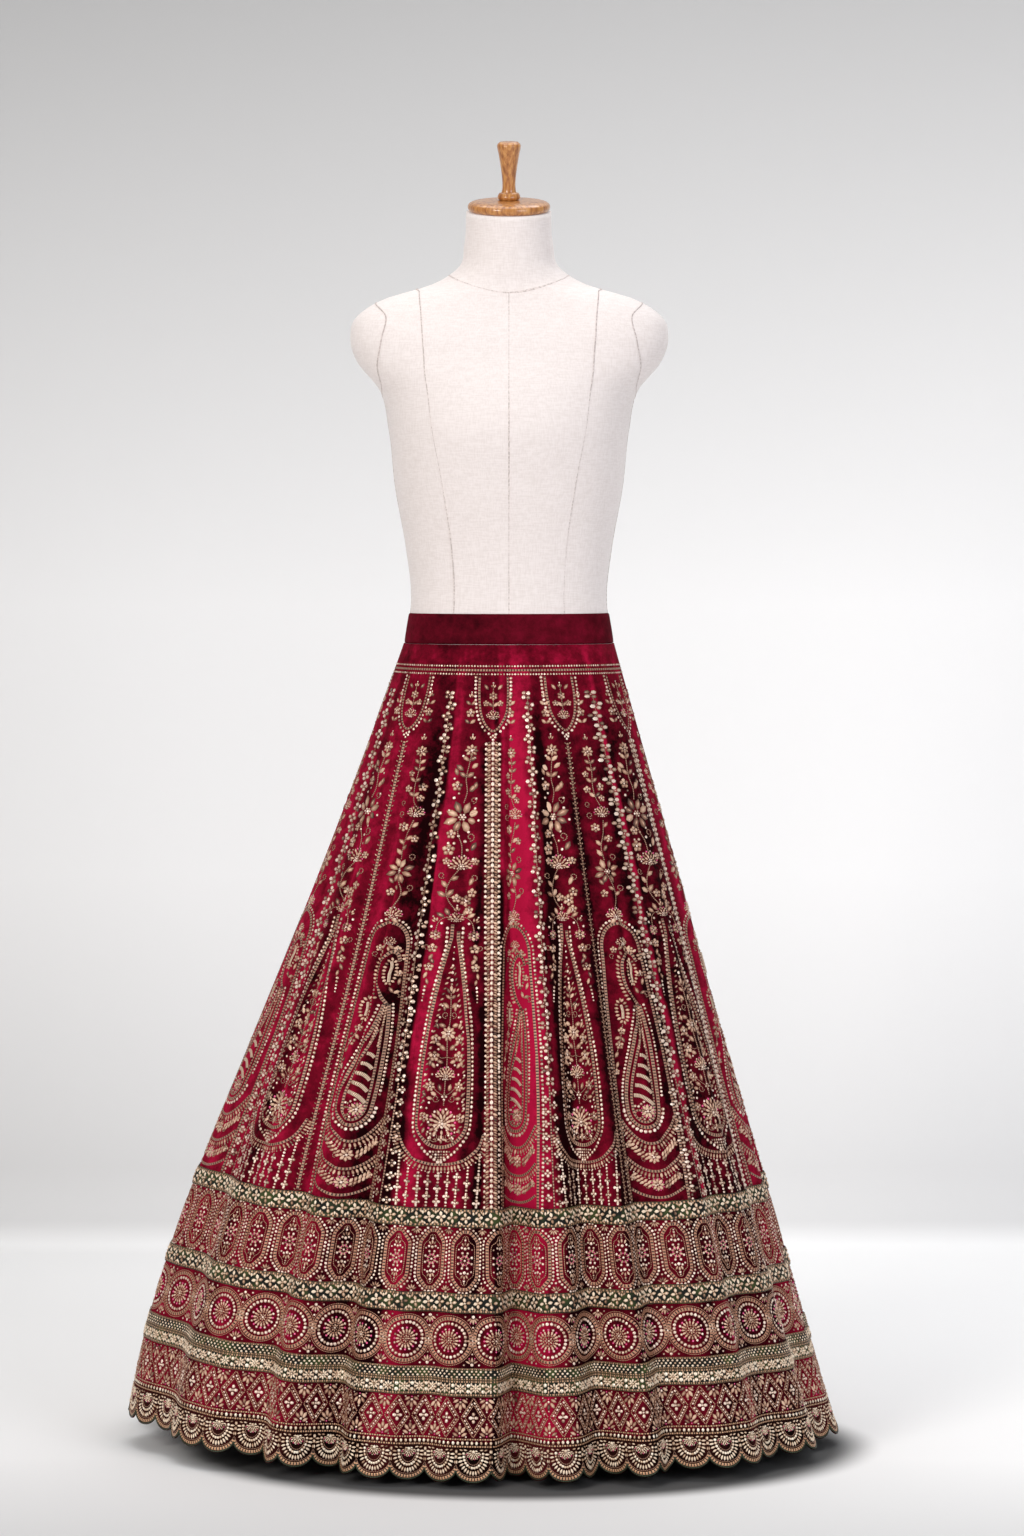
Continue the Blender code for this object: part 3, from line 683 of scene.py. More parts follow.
ribbon, tree, shader = finish("olive_silk_rep", Roughness=0.6, Sheen_Weight=0.04, Sheen_Roughness=0.4,
                              Specular_IOR_Level=0.2)
run = node(tree, "ShaderNodeUVMap", uv_map="run").outputs["UV"]
# Ribs stand 0.5 mm apart; they are drawn 1.3 mm apart so that they show.
ribs = node(tree, "ShaderNodeTexWave", {"Vector": run, "Scale": 240.0, "Distortion": 0.6, "Detail": 1.0})
where = node(tree, "ShaderNodeTexCoord").outputs["Object"]
patch = node(tree, "ShaderNodeTexNoise", {"Vector": where, "Scale": 55.0, "Detail": 3.0})
tint = ramp(tree, patch.outputs["Fac"], (0.46, "#060B06"), (0.66, "#37431C"))
tree.links.new(tint, shader.inputs["Base Color"])
emboss(tree, shader, ribs.outputs["Fac"], 0.4, 0.0005)
for tape, (high, low) in TAPES.items():
    band = cloth_wall("ribbon_" + tape[5:], 960, np.linspace(high, low, 5), ribbon,
                      outer=RIBBON_FACE, inner=CLOTH + TAPE_GAP)
    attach(band, "root")
    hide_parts(tape)

# ================================================================ velvet waistband
# A stiffened band of the same velvet, lined and closed at the back, holds the gathers on the waist.
# Its pile lies flat, so it looks a little plainer and darker than the gores.
belt_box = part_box("belt")
BELT_WIDTH = 0.037
BELT_GAP = 0.0003  # the belt's lower edge stands this far above the gores
BELT_ROUNDNESS = 2.2
belt_velvet = velvet_finish("banded_crimson_velvet", "#760E26", "#560918", "#200206")
BELT_COLUMNS = 480
belt_turn = np.linspace(0, 2 * math.pi, BELT_COLUMNS, endpoint=False)


def on_belt(turn, height, lift):
    """A point on the waistband: the torso's outline at that height, lifted off it."""
    sizes = [eased(FORM[:, 0], FORM[:, k], height) for k in range(1, 4)]
    radius = outline(turn, sizes[0], sizes[0], sizes[1], sizes[2], BELT_ROUNDNESS) + FORM_CLEARANCE + lift
    return np.stack([radius * np.sin(turn), -radius * np.cos(turn), height], -1)


# The edges are rolled: the wall's section is a flat oval with a slight crown.
roll = np.radians(np.linspace(-90, 90, 9))
belt_levels = BELT_SEAM_HEIGHT + BELT_GAP + 0.5 * (BELT_WIDTH - BELT_GAP) * (1 + np.sin(roll))
belt_lift = CLOTH * np.cos(roll) ** 0.3
grid_turn = np.repeat(belt_turn[None, :], len(roll), axis=0)
grid_level = np.repeat(belt_levels[:, None], BELT_COLUMNS, axis=1)
outer_face = on_belt(grid_turn, grid_level, belt_lift[:, None])
inner_face = on_belt(grid_turn, grid_level, 0.0)
belt_loop = np.concatenate([outer_face[::-1], inner_face])
belt_quads = grid_quads(2 * len(roll) + 1, BELT_COLUMNS) % (2 * len(roll) * BELT_COLUMNS)
# The waistband's painted sheen and shade rise and fall gently three times round.
belt_lay = 0.5 + 0.1 * np.sin(3 * np.tile(belt_turn, 2 * len(roll)))
belt = make_mesh("velvet_waistband", belt_loop.reshape(-1, 3), belt_quads, belt_velvet, lay=belt_lay)
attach(belt, "root")
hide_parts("belt")

# ================================================================ chevron bands on the seams
# A band of couched zari covers every other gore seam: sequins and small leaves in wheat-ear rows.
# Zari is metallic thread, antique gold with a pink cast; sequins and beads catch bright points.
MM = 0.001
STUD_GAP = 0.00005
BURIED = 0.0006  # a strip's two edges sink this far into the pile
chance = np.random.default_rng(7)


class Motif:
    """Embroidery drawn flat in millimetres, x across and y up, before it is laid on the cloth."""

    def __init__(self):
        """Start with nothing drawn: a list for each kind of stud and of line."""
        self.studs = {"sequin": [], "petal": [], "pink": []}
        self.lines = {"ladder": [], "cord": [], "bullion": []}

    def stud(self, kind, x, y, turn=0.0, long=1.7, wide=None, rise=0.9, tone=0.6):
        """Domed pieces at x, y: turn in degrees from the x axis, half sizes long and wide."""
        columns = np.broadcast_arrays(x, y, turn, long, long if wide is None else wide, rise, tone)
        self.studs[kind].append(np.stack([np.ravel(c) for c in columns], -1).astype(float))

    def line(self, kind, path, wide, rise):
        """A raised strip along a path."""
        self.lines[kind].append((np.asarray(path, dtype=float), wide, rise))

    def add(self, other, x=0.0, y=0.0, turn=0.0, size=1.0, flip=False):
        """Copy another motif here: flipped left to right, sized, turned and then moved."""
        c, s = math.cos(math.radians(turn)), math.sin(math.radians(turn))
        side = -1.0 if flip else 1.0
        for kind, blocks in other.studs.items():
            for block in blocks:
                copy = block.copy()
                px, py = block[:, 0] * side * size, block[:, 1] * size
                copy[:, 0], copy[:, 1] = x + c * px - s * py, y + s * px + c * py
                copy[:, 2] = (180 - block[:, 2] if flip else block[:, 2]) + turn
                copy[:, 3:6] *= size
                self.studs[kind].append(copy)
        for kind, lines in other.lines.items():
            for path, wide, rise in lines:
                px, py = path[:, 0] * side * size, path[:, 1] * size
                moved = np.stack([x + c * px - s * py, y + s * px + c * py], -1)
                self.lines[kind].append((moved, wide * size, rise))

    def place(self, *rows):
        """Add motifs in turn: each row is a motif, x, y and, where needed, its turn, size and flip."""
        for row in rows:
            self.add(*row)


class Tray:
    """Finished embroidery of one kind, gathered as arrays for one mesh.

    A piece at share s, x across and height u sits at share s + w x / girth(u) on the skirt, where w
    widens the figures of a wide gore.
    """

    def __init__(self):
        """Start empty: used counts the points so far, which the next faces are numbered from."""
        self.points, self.faces, self.tones, self.runs, self.used = [], [], [], [], 0

    def keep(self, points, faces, tones, runs):
        """Add finished pieces; their faces count from the points already here."""
        self.points.append(points.reshape(-1, 3))
        self.faces.append(faces + self.used)
        self.tones.append(np.ravel(tones))
        self.runs.append(runs.reshape(-1, 2))
        self.used += points.reshape(-1, 3).shape[0]

    def domes(self, share, widen, x, up, turn, long, wide, rise, tone, rim, lift):
        """A fan per piece: rim points round an apex raised by rise and nudged aside at random."""
        share, widen, x, up, turn, long, wide, rise, tone = (
            np.ravel(a) for a in np.broadcast_arrays(share, widen, x, up, turn, long, wide, rise, tone))
        girth = girth_at(up)
        at = share + widen * x / girth
        centre = on_skirt(at, up, lift)
        out = on_skirt(at, up, lift + 0.001) - centre
        right = on_skirt(at + 0.0007 / girth, up, lift) - on_skirt(at - 0.0007 / girth, up, lift)
        right /= np.linalg.norm(right, axis=-1, keepdims=True)
        out /= np.linalg.norm(out, axis=-1, keepdims=True)
        upward = np.cross(out, right)
        c, s = np.cos(np.radians(turn))[:, None], np.sin(np.radians(turn))[:, None]
        nudge = chance.uniform(-0.22, 0.22, (2, len(x), 1))
        p = np.concatenate([rim[None, :, 0] * long[:, None], nudge[0] * long[:, None]], 1)
        q = np.concatenate([rim[None, :, 1] * wide[:, None], nudge[1] * wide[:, None]], 1)
        level = np.zeros_like(p)
        level[:, -1] = rise
        points = (centre[:, None] + ((p * c - q * s) * widen[:, None])[..., None] * right[:, None]
                  + (p * s + q * c)[..., None] * upward[:, None] + level[..., None] * out[:, None])
        sides = len(rim)
        ring = np.arange(sides)
        fan = np.stack([np.full(sides, sides), ring, (ring + 1) % sides], -1)
        faces = (fan[None] + (sides + 1) * np.arange(len(x))[:, None, None]).reshape(-1, 3)
        # The crown of each piece is painted lighter, a painted highlight, and its rim darker, a painted
        # shade.
        tones = (tone + chance.normal(0, 0.2, len(x)))[:, None] + np.r_[np.full(sides, -0.2), 0.36]
        self.keep(points, faces, np.clip(tones, 0, 1), np.zeros((points.size // 3, 2)))

    def strips(self, share, widen, path, up, wide, rise, lift):
        """Strips of three lines along a path, the middle one raised; u runs in metres, v across."""
        share, widen = (np.ravel(a)[:, None, None] for a in np.broadcast_arrays(share, widen))
        x, y = path[:, 0] * MM, path[:, 1] * MM
        ahead = np.stack([np.gradient(x), np.gradient(y)], -1)
        ahead /= np.maximum(np.linalg.norm(ahead, axis=-1, keepdims=True), 1e-9)
        run = np.r_[0.0, np.cumsum(np.hypot(np.diff(x), np.diff(y)))]
        offset = np.array([-0.5, 0.0, 0.5]) * wide
        across = x[:, None] - ahead[:, 1:] * offset
        height = up + y[:, None] + ahead[:, :1] * offset
        raised = lift + np.array([-BURIED, rise, -BURIED])
        at = share + widen * (across / girth_at(height))[None]
        points = on_skirt(at, np.broadcast_to(height, at.shape), np.broadcast_to(raised, at.shape))
        count = len(x)
        near = 3 * np.arange(count - 1)
        quads = np.concatenate(
            [np.stack([near + k, near + 3 + k, near + 4 + k, near + 1 + k], -1) for k in (0, 1)])
        faces = (quads[None] + 3 * count * np.arange(len(share))[:, None, None]).reshape(-1, 4)
        faces = np.concatenate([faces[:, [0, 1, 2]], faces[:, [0, 2, 3]]])
        runs = np.stack([np.repeat(run, 3), np.tile([0.0, 0.5, 1.0], count)], -1)
        self.keep(points, faces, np.zeros(points.size // 3), np.tile(runs, (len(share), 1)))


def around(reach, degrees, x=0.0, y=0.0):
    """Across and up of points at a reach from x, y and at angles in degrees from the x axis."""
    lean = np.radians(degrees)
    return x + reach * np.cos(lean), y + reach * np.sin(lean)


# Rims of a stud in half sizes: a hexagon for beads and sequins, and a leaf with its tip along +x.
ROUND = np.stack(around(1.0, np.arange(30, 390, 60)), -1)
LEAF = np.array([(1.0, 0.0), (0.3, 0.85), (-0.5, 0.72), (-1.0, 0.0), (-0.5, -0.72), (0.3, -0.85)])
KINDS = ("sequin", "petal", "pink", "ladder", "cord")


def new_trays():
    """One empty tray for each kind of embroidery."""
    return {kind: Tray() for kind in KINDS}


def sew(trays, motif, shares, up, lift=CLOTH, widen=1.0):
    """Lay a motif on the cloth with its origin at each share and at height up, in metres."""
    shares = np.asarray(shares, dtype=float).reshape(-1, 1)
    widen = np.asarray(widen, dtype=float).reshape(-1, 1)
    for kind, blocks in motif.studs.items():
        if blocks:
            x, y, turn, long, wide, rise, tone = np.concatenate(blocks).T
            rim = LEAF if kind == "petal" else ROUND
            trays[kind].domes(shares, widen, x * MM, up + y * MM, turn, long * MM, wide * MM, rise * MM, tone,
                              rim, lift + STUD_GAP)
    for kind, lines in motif.lines.items():
        for path, wide, rise in lines:
            trays[kind].strips(shares, widen, path, up, wide * MM, rise * MM, lift)


def spaced(path, pitch, start=0.0):
    """Points and headings (degrees) every pitch millimetres along a path."""
    path = np.asarray(path, dtype=float)
    run = np.r_[0.0, np.cumsum(np.hypot(*np.diff(path, axis=0).T))]
    at = np.arange(start, run[-1] + 1e-6, pitch)
    x, y = (np.interp(at, run, path[:, k]) for k in (0, 1))
    ahead = [np.interp(at, run, np.gradient(path[:, k])) for k in (0, 1)]
    return x, y, np.degrees(np.arctan2(ahead[1], ahead[0]))


def drawn(points, steps=8):
    """A smooth path through given points."""
    points = np.asarray(points, dtype=float)
    rows = np.arange(len(points), dtype=float)
    fine = np.linspace(0, len(points) - 1, (len(points) - 1) * steps + 1)
    return np.stack([eased(rows, points[:, k], fine) for k in (0, 1)], -1)


def arc(x, y, radius, start, stop, steps, tall=None):
    """Points of an arc round x, y from start to stop degrees."""
    angle = np.radians(np.linspace(start, stop, steps + 1))
    return np.stack([x + radius * np.cos(angle), y + (tall or radius) * np.sin(angle)], -1)


def sequin_finish(name, shade, middle, light):
    """Sequins and beads: silvered plastic with bright skins; tone picks the shade, low to high, with painted
    highlight and shade.
    """
    made, tree, shader = finish(name, Metallic=0.35, Roughness=0.3, Coat_Weight=0.4, Coat_Roughness=0.15)
    tone = node(tree, "ShaderNodeAttribute", attribute_name="tone").outputs["Fac"]
    tint = ramp(tree, tone, (0.1, shade), (0.5, middle), (0.95, light))
    tree.links.new(tint, shader.inputs["Base Color"])
    return made


sequin = sequin_finish("gold_sequins", "#4A2A1E", "#B08A70", "#FFE8D6")


def zari_finish(name, shade, middle, light):
    """Couched zari: 0.3 mm thread laid side by side, drawn at 0.9 mm; tone picks the shade, with painted
    highlight and shade.
    """
    made, tree, shader = finish(name, Metallic=0.3, Roughness=0.45)
    tone = node(tree, "ShaderNodeAttribute", attribute_name="tone").outputs["Fac"]
    tint = ramp(tree, tone, (0.1, shade), (0.5, middle), (0.9, light))
    tree.links.new(tint, shader.inputs["Base Color"])
    where = node(tree, "ShaderNodeTexCoord").outputs["Object"]
    thread = node(tree, "ShaderNodeTexWave", {"Vector": where, "Scale": 350.0, "Distortion": 1.5},
                  bands_direction="DIAGONAL")
    emboss(tree, shader, thread.outputs["Fac"], 0.35, 0.0004)
    return made


petal = zari_finish("couched_zari", "#44261C", "#A4785F", "#E4C0A4")
# Pink beads: dyed glass, clear and glossy; tone carries a painted highlight on each crown and painted shade
# on the rim.
pink, tree, shader = finish("pink_glass_beads", Roughness=0.22, Coat_Weight=0.6)
tone = node(tree, "ShaderNodeAttribute", attribute_name="tone").outputs["Fac"]
tint = ramp(tree, tone, (0.0, "#C8185E"), (1.0, "#FF5F9E"))
tree.links.new(tint, shader.inputs["Base Color"])


def braid_finish(name, thread_colour, gap_colour, pitch, open_part):
    """Laid braid: u carries rungs every pitch metres, v the two edges; between them the ground shows,
    darkened as painted shade.
    """
    made, tree, shader = finish(name, Metallic=0.25, Roughness=0.48)
    run = node(tree, "ShaderNodeUVMap", uv_map="run").outputs["UV"]
    parts = node(tree, "ShaderNodeSeparateXYZ", {"Vector": run})
    turns = node(tree, "ShaderNodeMath", {0: parts.outputs["X"], 1: 2 * math.pi / pitch},
                 operation="MULTIPLY")
    rung = node(tree, "ShaderNodeMath", {0: turns.outputs[0]}, operation="SINE")
    middle = node(tree, "ShaderNodeMath", {0: parts.outputs["Y"], 1: 0.5}, operation="SUBTRACT")
    away = node(tree, "ShaderNodeMath", {0: middle.outputs[0]}, operation="ABSOLUTE")
    inside = node(tree, "ShaderNodeMapRange", {"Value": away.outputs[0], "From Min": open_part - 0.06,
                                               "From Max": open_part + 0.06, "To Min": 1.0, "To Max": 0.0})
    between = node(tree, "ShaderNodeMapRange", {"Value": rung.outputs[0], "From Min": 0.1,
                                                "From Max": 0.5})
    hole = node(tree, "ShaderNodeMath", {0: inside.outputs["Result"], 1: between.outputs["Result"]},
                operation="MULTIPLY")
    tint = node(tree, "ShaderNodeMix", {6: paint(thread_colour), 7: paint(gap_colour),
                                        0: hole.outputs[0]}, data_type="RGBA")
    tree.links.new(tint.outputs[2], shader.inputs["Base Color"])
    height = node(tree, "ShaderNodeMath", {0: 1.0, 1: hole.outputs[0]}, operation="SUBTRACT")
    emboss(tree, shader, height.outputs[0], 0.5, 0.0006)
    return made


# Rungs stand about 2.6 mm apart and are drawn at 3.6 mm; cord twists about 1.5 mm, drawn at 2.2 mm.
ladder = braid_finish("ladder_braid", "#AC826A", "#160306", 0.0036, 0.25)
cord = braid_finish("zari_cord", "#B0866E", "#4A2418", 0.0022, 0.40)
STITCH_MATERIALS = {"sequin": sequin, "petal": petal, "pink": pink, "ladder": ladder, "cord": cord}


def fix(trays, place, materials=STITCH_MATERIALS):
    """Turn the trays into one mesh for each kind, riding on the skirt's body."""
    for kind, tray in trays.items():
        if tray.used:
            piece = make_mesh(kind + "s_on_" + place, np.concatenate(tray.points),
                              np.concatenate(tray.faces), materials[kind],
                              uv=np.concatenate(tray.runs), tone=np.concatenate(tray.tones))
            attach(piece, "root")


chevron_at = GORE_SEAMS[:-1:2]
EMBROIDERY_LOW = 318.5  # top edge of the top ribbon, in millimetres up the cloth
CHEVRON_TOP = 884.0
chevron = Motif()
rows = np.arange(EMBROIDERY_LOW + 2.5, CHEVRON_TOP, 6.2)
for side in (-1, 1):
    chevron.stud("sequin", side * 7.9, rows, long=2.0, rise=1.3, tone=0.72)
    chevron.stud("petal", side * 4.2, rows - 1.2, turn=90 + side * 66, long=3.5, wide=1.9, tone=0.5)
    chevron.stud("petal", side * 4.6, rows + 1.9, turn=90 + side * 66, long=2.9, wide=1.1, tone=0.3)
chevron.stud("sequin", 0, rows + 0.8, long=2.2, wide=2.8, rise=1.9, tone=0.84)
chevrons = new_trays()
tucked = np.isin(np.arange(len(chevron_at)), (1, len(chevron_at) - 1))
sew(chevrons, chevron, chevron_at[~tucked], 0.0)
# The two bands beside the centre front are tucked into deep folds, so they are worked as plain braid.
tucked_braid = Motif()
tucked_braid.line("ladder", np.stack([0 * rows, rows], -1), 5.6, 0.8)
for side in (-1, 1):
    tucked_braid.stud("petal", side * 3.6, rows, turn=90 - side * 50, long=1.7, wide=0.9, tone=0.45)
sew(chevrons, tucked_braid, chevron_at[tucked], 0.0)
fix(chevrons, "chevrons")

# ================================================================ flower strips on the seams
# The seams between are covered by a column of four-petalled flowers, worked one above another on a cord.
# Near the border the column parts in two round a ladder braid. Each petal is one cupped sequin.
flower = Motif()
flower.stud("sequin", *around(3.8, 90 * np.arange(4)), long=2.45, rise=1.4,
            tone=(0.92, 0.45, 0.68, 0.52))
flower.stud("sequin", 0, 0, long=1.0, rise=1.6, tone=0.4)
strip = Motif()
PARTING, STRIP_TOP = 470.0, 945.0
for step, low in enumerate(np.arange(PARTING, STRIP_TOP, 13.4)):
    strip.add(flower, 1.5 * (-1) ** step, low, turn=(40, 98, 160, 262, 205)[step % 5])
for step, low in enumerate(np.arange(EMBROIDERY_LOW + 6, PARTING - 8, 7.3)):
    aside = np.interp(low, (320, 400, PARTING), (6.6, 5.8, 4.6)) * (-1) ** step
    strip.add(flower, aside, low, turn=(8, 95, -12, 180, 84, 274)[step % 6], size=0.78)
levels = np.arange(EMBROIDERY_LOW + 1, PARTING - 4, 12.0)
strip.line("ladder", np.stack([0 * levels, levels], -1), 3.0, 0.5)
levels = np.arange(PARTING, STRIP_TOP, 12.0)
strip.line("cord", np.stack([0 * levels, levels], -1), 1.6, 0.4)
strip_at = GORE_SEAMS[1::2]
# A strip on the slanted side of a fold is worked wider, so that it reads as wide as the others.
strip_width = np.array([1.0, 1.8, 1.5, 1.4, 1.0, 1.0, 1.1, 1.5, 1.3])
strips = new_trays()
sew(strips, strip, strip_at, 0.0, widen=strip_width)
fix(strips, "flower_strips")

# ================================================================ flowers, leaves and curls
# The gores' motifs are made up from a few hand-worked figures, each a small cluster of thread and bead.
# Petals are padded with cotton under the zari, so they stand up about 1.5 mm.


def rosette(petals, radius, pink_beads=False, bright=0.55):
    """A round flower: petals out from a beaded heart, with a bead at each tip if pink_beads."""
    made = Motif()
    lean = np.arange(petals) * 360 / petals + 90
    made.stud("petal", *around(0.62 * radius, lean), lean, 0.36 * radius, 2.1 * radius / petals, 1.3, bright)
    half_way = lean + 180 / petals
    made.stud("sequin", *around(0.32 * radius, half_way[::2]), long=0.13 * radius, rise=0.8, tone=0.6)
    made.stud("sequin", 0, 0, long=max(0.2 * radius, 0.9), rise=1.3, tone=0.85)
    if pink_beads:
        made.stud("pink", *around(0.86 * radius, half_way), long=0.1 * radius, rise=0.9)
    return made


def lotus(radius, petals, pink_beads=True, spread=172, bright=0.6):
    """An open lotus: two fans of petals, or three if it is spread wide, and beads between the tips."""
    made = Motif()
    rings = ((0.77, petals, 1.0, 0.118, bright), (0.47, petals - 3, 0.9, 0.09, bright + 0.25),
             (0.24, petals - 6, 0.85, 0.07, bright - 0.1))
    wide_open = spread > 200
    for reach, count, part, half, tone in rings[: 3 if wide_open else 2]:
        lean = 90 + np.linspace(-0.5, 0.5, count) * spread * part
        made.stud("petal", *around(reach * radius, lean), lean, 0.21 * radius,
                  (half if wide_open else 0.95 / petals) * radius, 1.4, tone)
    half_way = 90 + (np.arange(petals - 1) + 0.5 - (petals - 1) / 2) * spread / (petals - 1)
    if pink_beads:
        made.stud("pink", *around(0.92 * radius, half_way[::2]), long=0.085 * radius, rise=1.4)
        half_way = half_way[1::2]
    made.stud("sequin", *around(0.95 * radius, half_way), long=0.085 * radius, rise=0.9, tone=0.8)
    heart = np.arange(7) * 360 / 7
    made.stud("sequin", *around(0.2 * radius, heart), long=0.08 * radius, rise=1.5, tone=0.7)
    base = np.linspace(-0.5, 0.5, 5) * radius
    made.stud("sequin", base, -0.24 * radius + 0.3 * base**2 / radius, long=0.085 * radius, tone=0.55)
    made.stud("sequin", 0, 0, long=0.11 * radius, rise=1.8, tone=0.9)
    return made


def leaf(long, wide, shade=0.5):
    """One leaf along +x from its stalk, with a bright rib worked over it."""
    made = Motif()
    made.stud("petal", 1.2 * long, 0, 0, 1.2 * long, 1.4 * wide, 1.1, shade)
    made.stud("petal", 1.2 * long, 0, 0, 0.75 * long, 0.4 * wide, 1.8, 0.9)
    return made


def leaf_pair(long, wide):
    """Two leaves that rise to both sides of the stem."""
    made = Motif()
    made.place((leaf(long, wide), 0, 0, 38), (leaf(long, wide), 0, 0, 180 - 38))
    return made


def curl(radius, turns=1.1):
    """A tendril: a cord spiral that closes in as it winds, from its open end at the origin."""
    angle = np.linspace(0, 2 * math.pi * turns, 14)
    size = radius * (1 - 0.62 * angle / angle[-1])
    path = np.stack([radius * 0.2 + size * np.sin(angle), radius - size * np.cos(angle)], -1)
    made = Motif()
    made.line("cord", path, 1.7, 0.8)
    return made


def bud(size):
    """Three closed petals with a bead on the tip."""
    made = Motif()
    made.stud("petal", (-0.42 * size, 0.42 * size, 0), (0.5 * size, 0.5 * size, 0.85 * size),
              (118, 62, 90), 0.5 * size, 0.26 * size, 1.2, (0.5, 0.5, 0.75))
    made.stud("sequin", 0, 1.5 * size, long=0.2 * size, tone=0.85)
    return made


def star_flower(radius):
    """An eight-petalled flower with long pointed petals, each with a light rib, and a beaded heart."""
    made = Motif()
    for k in range(8):
        lean = 22.5 + 45 * k
        reach = radius * (1.0, 0.92, 0.98, 0.88)[k % 4]
        made.add(leaf(0.37 * reach, 0.19 * reach, 0.44), *around(0.27 * reach, lean), lean)
    heart = np.arange(6) * 60
    made.stud("sequin", *around(0.17 * radius, heart), long=0.075 * radius, rise=1.4, tone=0.6)
    made.stud("sequin", 0, 0, long=0.1 * radius, rise=1.8, tone=0.9)
    return made


def fringe(made, path, beyond, pitch, long=3.1, wide=1.5):
    """Loops of purl set square to a path, beyond it on its right-hand side."""
    x, y, heading = spaced(path, pitch)
    outward = heading - 90
    made.stud("petal", *around(beyond, outward, x, y), outward, long, wide, 1.1, 0.55)
    made.stud("sequin", *around(beyond + long + 0.6, outward, x, y), long=0.95, tone=0.6)


small_rosette = rosette(5, 5.8, bright=0.6)
tendril = curl(4.2)

# ================================================================ teardrop gores
# Even gores carry a long teardrop filled with a flowering stem, and a vine that climbs to the belt.
# The teardrop is outlined with a ladder braid inside a row of sequins; bead strings hang below it.
drop = Motif()


def drop_outline(radius, round_level, tip, least=0.0):
    """Up one side and down the other: half width falls as 1 - f^2 from round to tip, down to the least."""
    part = np.linspace(0.0, 1.0, 30)
    side = np.maximum(radius * (1 - part**2), least)
    level = round_level + (tip - round_level) * part
    right = np.stack([side, level], -1)[::-1]
    left = np.stack([-side, level], -1)
    below = arc(0, round_level, radius, 0, -180, 28)
    return np.concatenate([right[1:], below[1:-1], left])


drop.line("ladder", drop_outline(31.0, 421.0, 658.0, 4.0), 7.4, 0.7)
# The sequin row follows the ladder, then runs down to a point under it.
side_row = drop_outline(36.6, 421.0, 664.0, 9.6)
side_row = side_row[(side_row[:, 1] > 399.0) & (side_row[:, 0] > 0)]
point_row = drawn([side_row[-1], (22, 388), (12, 379.5), (0, 371.0)], 6)
x, y, heading = spaced(np.concatenate([side_row[:-1], point_row]), 5.4, 2.0)
for side in (-1, 1):
    drop.stud("sequin", side * x, y, long=2.1, rise=1.3, tone=0.66)
# Under the ladder the point is filled with a lattice of small beads.
for level, half_row in ((384.8, 12.25), (381.4, 8.75), (378.0, 5.25), (374.8, 1.75)):
    drop.stud("sequin", np.arange(-half_row, half_row + 0.1, 3.5), level, long=1.5, tone=0.52)
drop.stud("sequin", 0, np.array([631.0, 624, 616.5, 608.5, 600, 591]), long=(1.1, 1.3, 1.5, 1.7, 1.9, 2.1),
              rise=1.3, tone=0.85)
drop.place((bud(8.0), 0, 574), (leaf_pair(3.4, 1.7), 0, 568))
drop.line("cord", drawn([(0, 576), (1.0, 545), (-1.0, 520), (0.6, 490), (0, 470), (0, 440)]), 2.0, 1.0)
for side in (-1, 1):
    flipped = side < 0
    drop.place((leaf(4.2, 2.2), side * 1.5, 557, 90 - side * 50),
               (leaf(3.4, 1.7), side * 6.5, 553, 90 - side * 5),
               (tendril, side * 3.0, 545, -side * 20, 1.0, flipped))
    drop.stud("sequin", side * np.array([9.5, 12.0, 8.0, 15.5]), (560.0, 546.0, 536.5, 541.0), long=1.5,
                  rise=1.2, tone=0.8)
    drop.place((leaf(4.2, 2.2), side * 3.5, 535, 90 - side * 75),
               (leaf(3.6, 1.8), side * 13.0, 532, 90 - side * 20),
               (small_rosette, side * 15.0, 519.5, 0, 1.15),
               (leaf(3.2, 1.6), side * 8.0, 512, 90 - side * 65))
    drop.stud("sequin", side * np.array([19.5, 11.0, 20.5]), (529.0, 507.5, 508.5), long=1.5, tone=0.75)
    drop.line("cord", drawn([(0, 498), (side * 7, 497), (side * 13, 501)][::side]), 1.4, 0.7)
    drop.place((leaf(4.4, 2.3), side * 2.5, 506, 90 - side * 48), (small_rosette, side * 15.5, 499, 0, 1.2),
               (leaf(3.8, 2.0), side * 4.0, 491, 90 - side * 70),
               (leaf(3.6, 1.8), side * 21.0, 487, 90 + side * 12),
               (leaf(3.6, 1.9), side * 14.0, 485, 90 - side * 35))
    drop.stud("sequin", side * np.array([11.0, 17.0, 24.5, 20.0]), (488.5, 477.5, 477.0, 471.0), long=1.5,
                  tone=0.75)
    drop.add(rosette(7, 6.8), side * 18.5, 463)
    drop.line("cord", drawn([(0, 451), (side * 7, 455), (side * 14, 461)][::side]), 1.6, 0.8)
    drop.place((leaf(3.8, 2.0), side * 5.5, 457, 90 - side * 12),
               (leaf(3.8, 2.0), side * 9.5, 452, 90 - side * 62),
               (leaf(3.4, 1.8), side * 14.5, 448, 90 - side * 78),
               (leaf(3.0, 1.6), side * 22.0, 451, 90 - side * 40),
               (curl(4.6), side * 5.5, 448, -side * 75, 1.0, flipped))
    drop.stud("sequin", side * np.array([18.5, 24.5, 26.5, 21.0]), (443.5, 445.5, 437.5, 437.0), long=1.6,
                  rise=1.2, tone=0.85)
    drop.place((rosette(6, 6.2), side * 23.0, 426), (leaf(3.2, 1.5), side * 21.5, 414, -90 + side * 25))
    drop.stud("sequin", side * np.array([17.5, 14.0]), (408.5, 402.5), long=1.4, tone=0.7)
    drop.add(curl(6.4, 1.4), side * 3.0, 405, turn=-side * 105, flip=flipped)
    drop.stud("sequin", side * np.array([9.4, 15.5, 3.0, 6.5]), (404.5, 401.0, 399.5, 410.5), long=1.7,
              tone=0.7)
    drop.add(leaf(3.2, 1.5), side * 12.0, 400, turn=-90 + side * 60)
drop.place((rosette(9, 9.8, bright=0.7), 0, 526), (lotus(12.8, 9, bright=0.68), 0, 474))
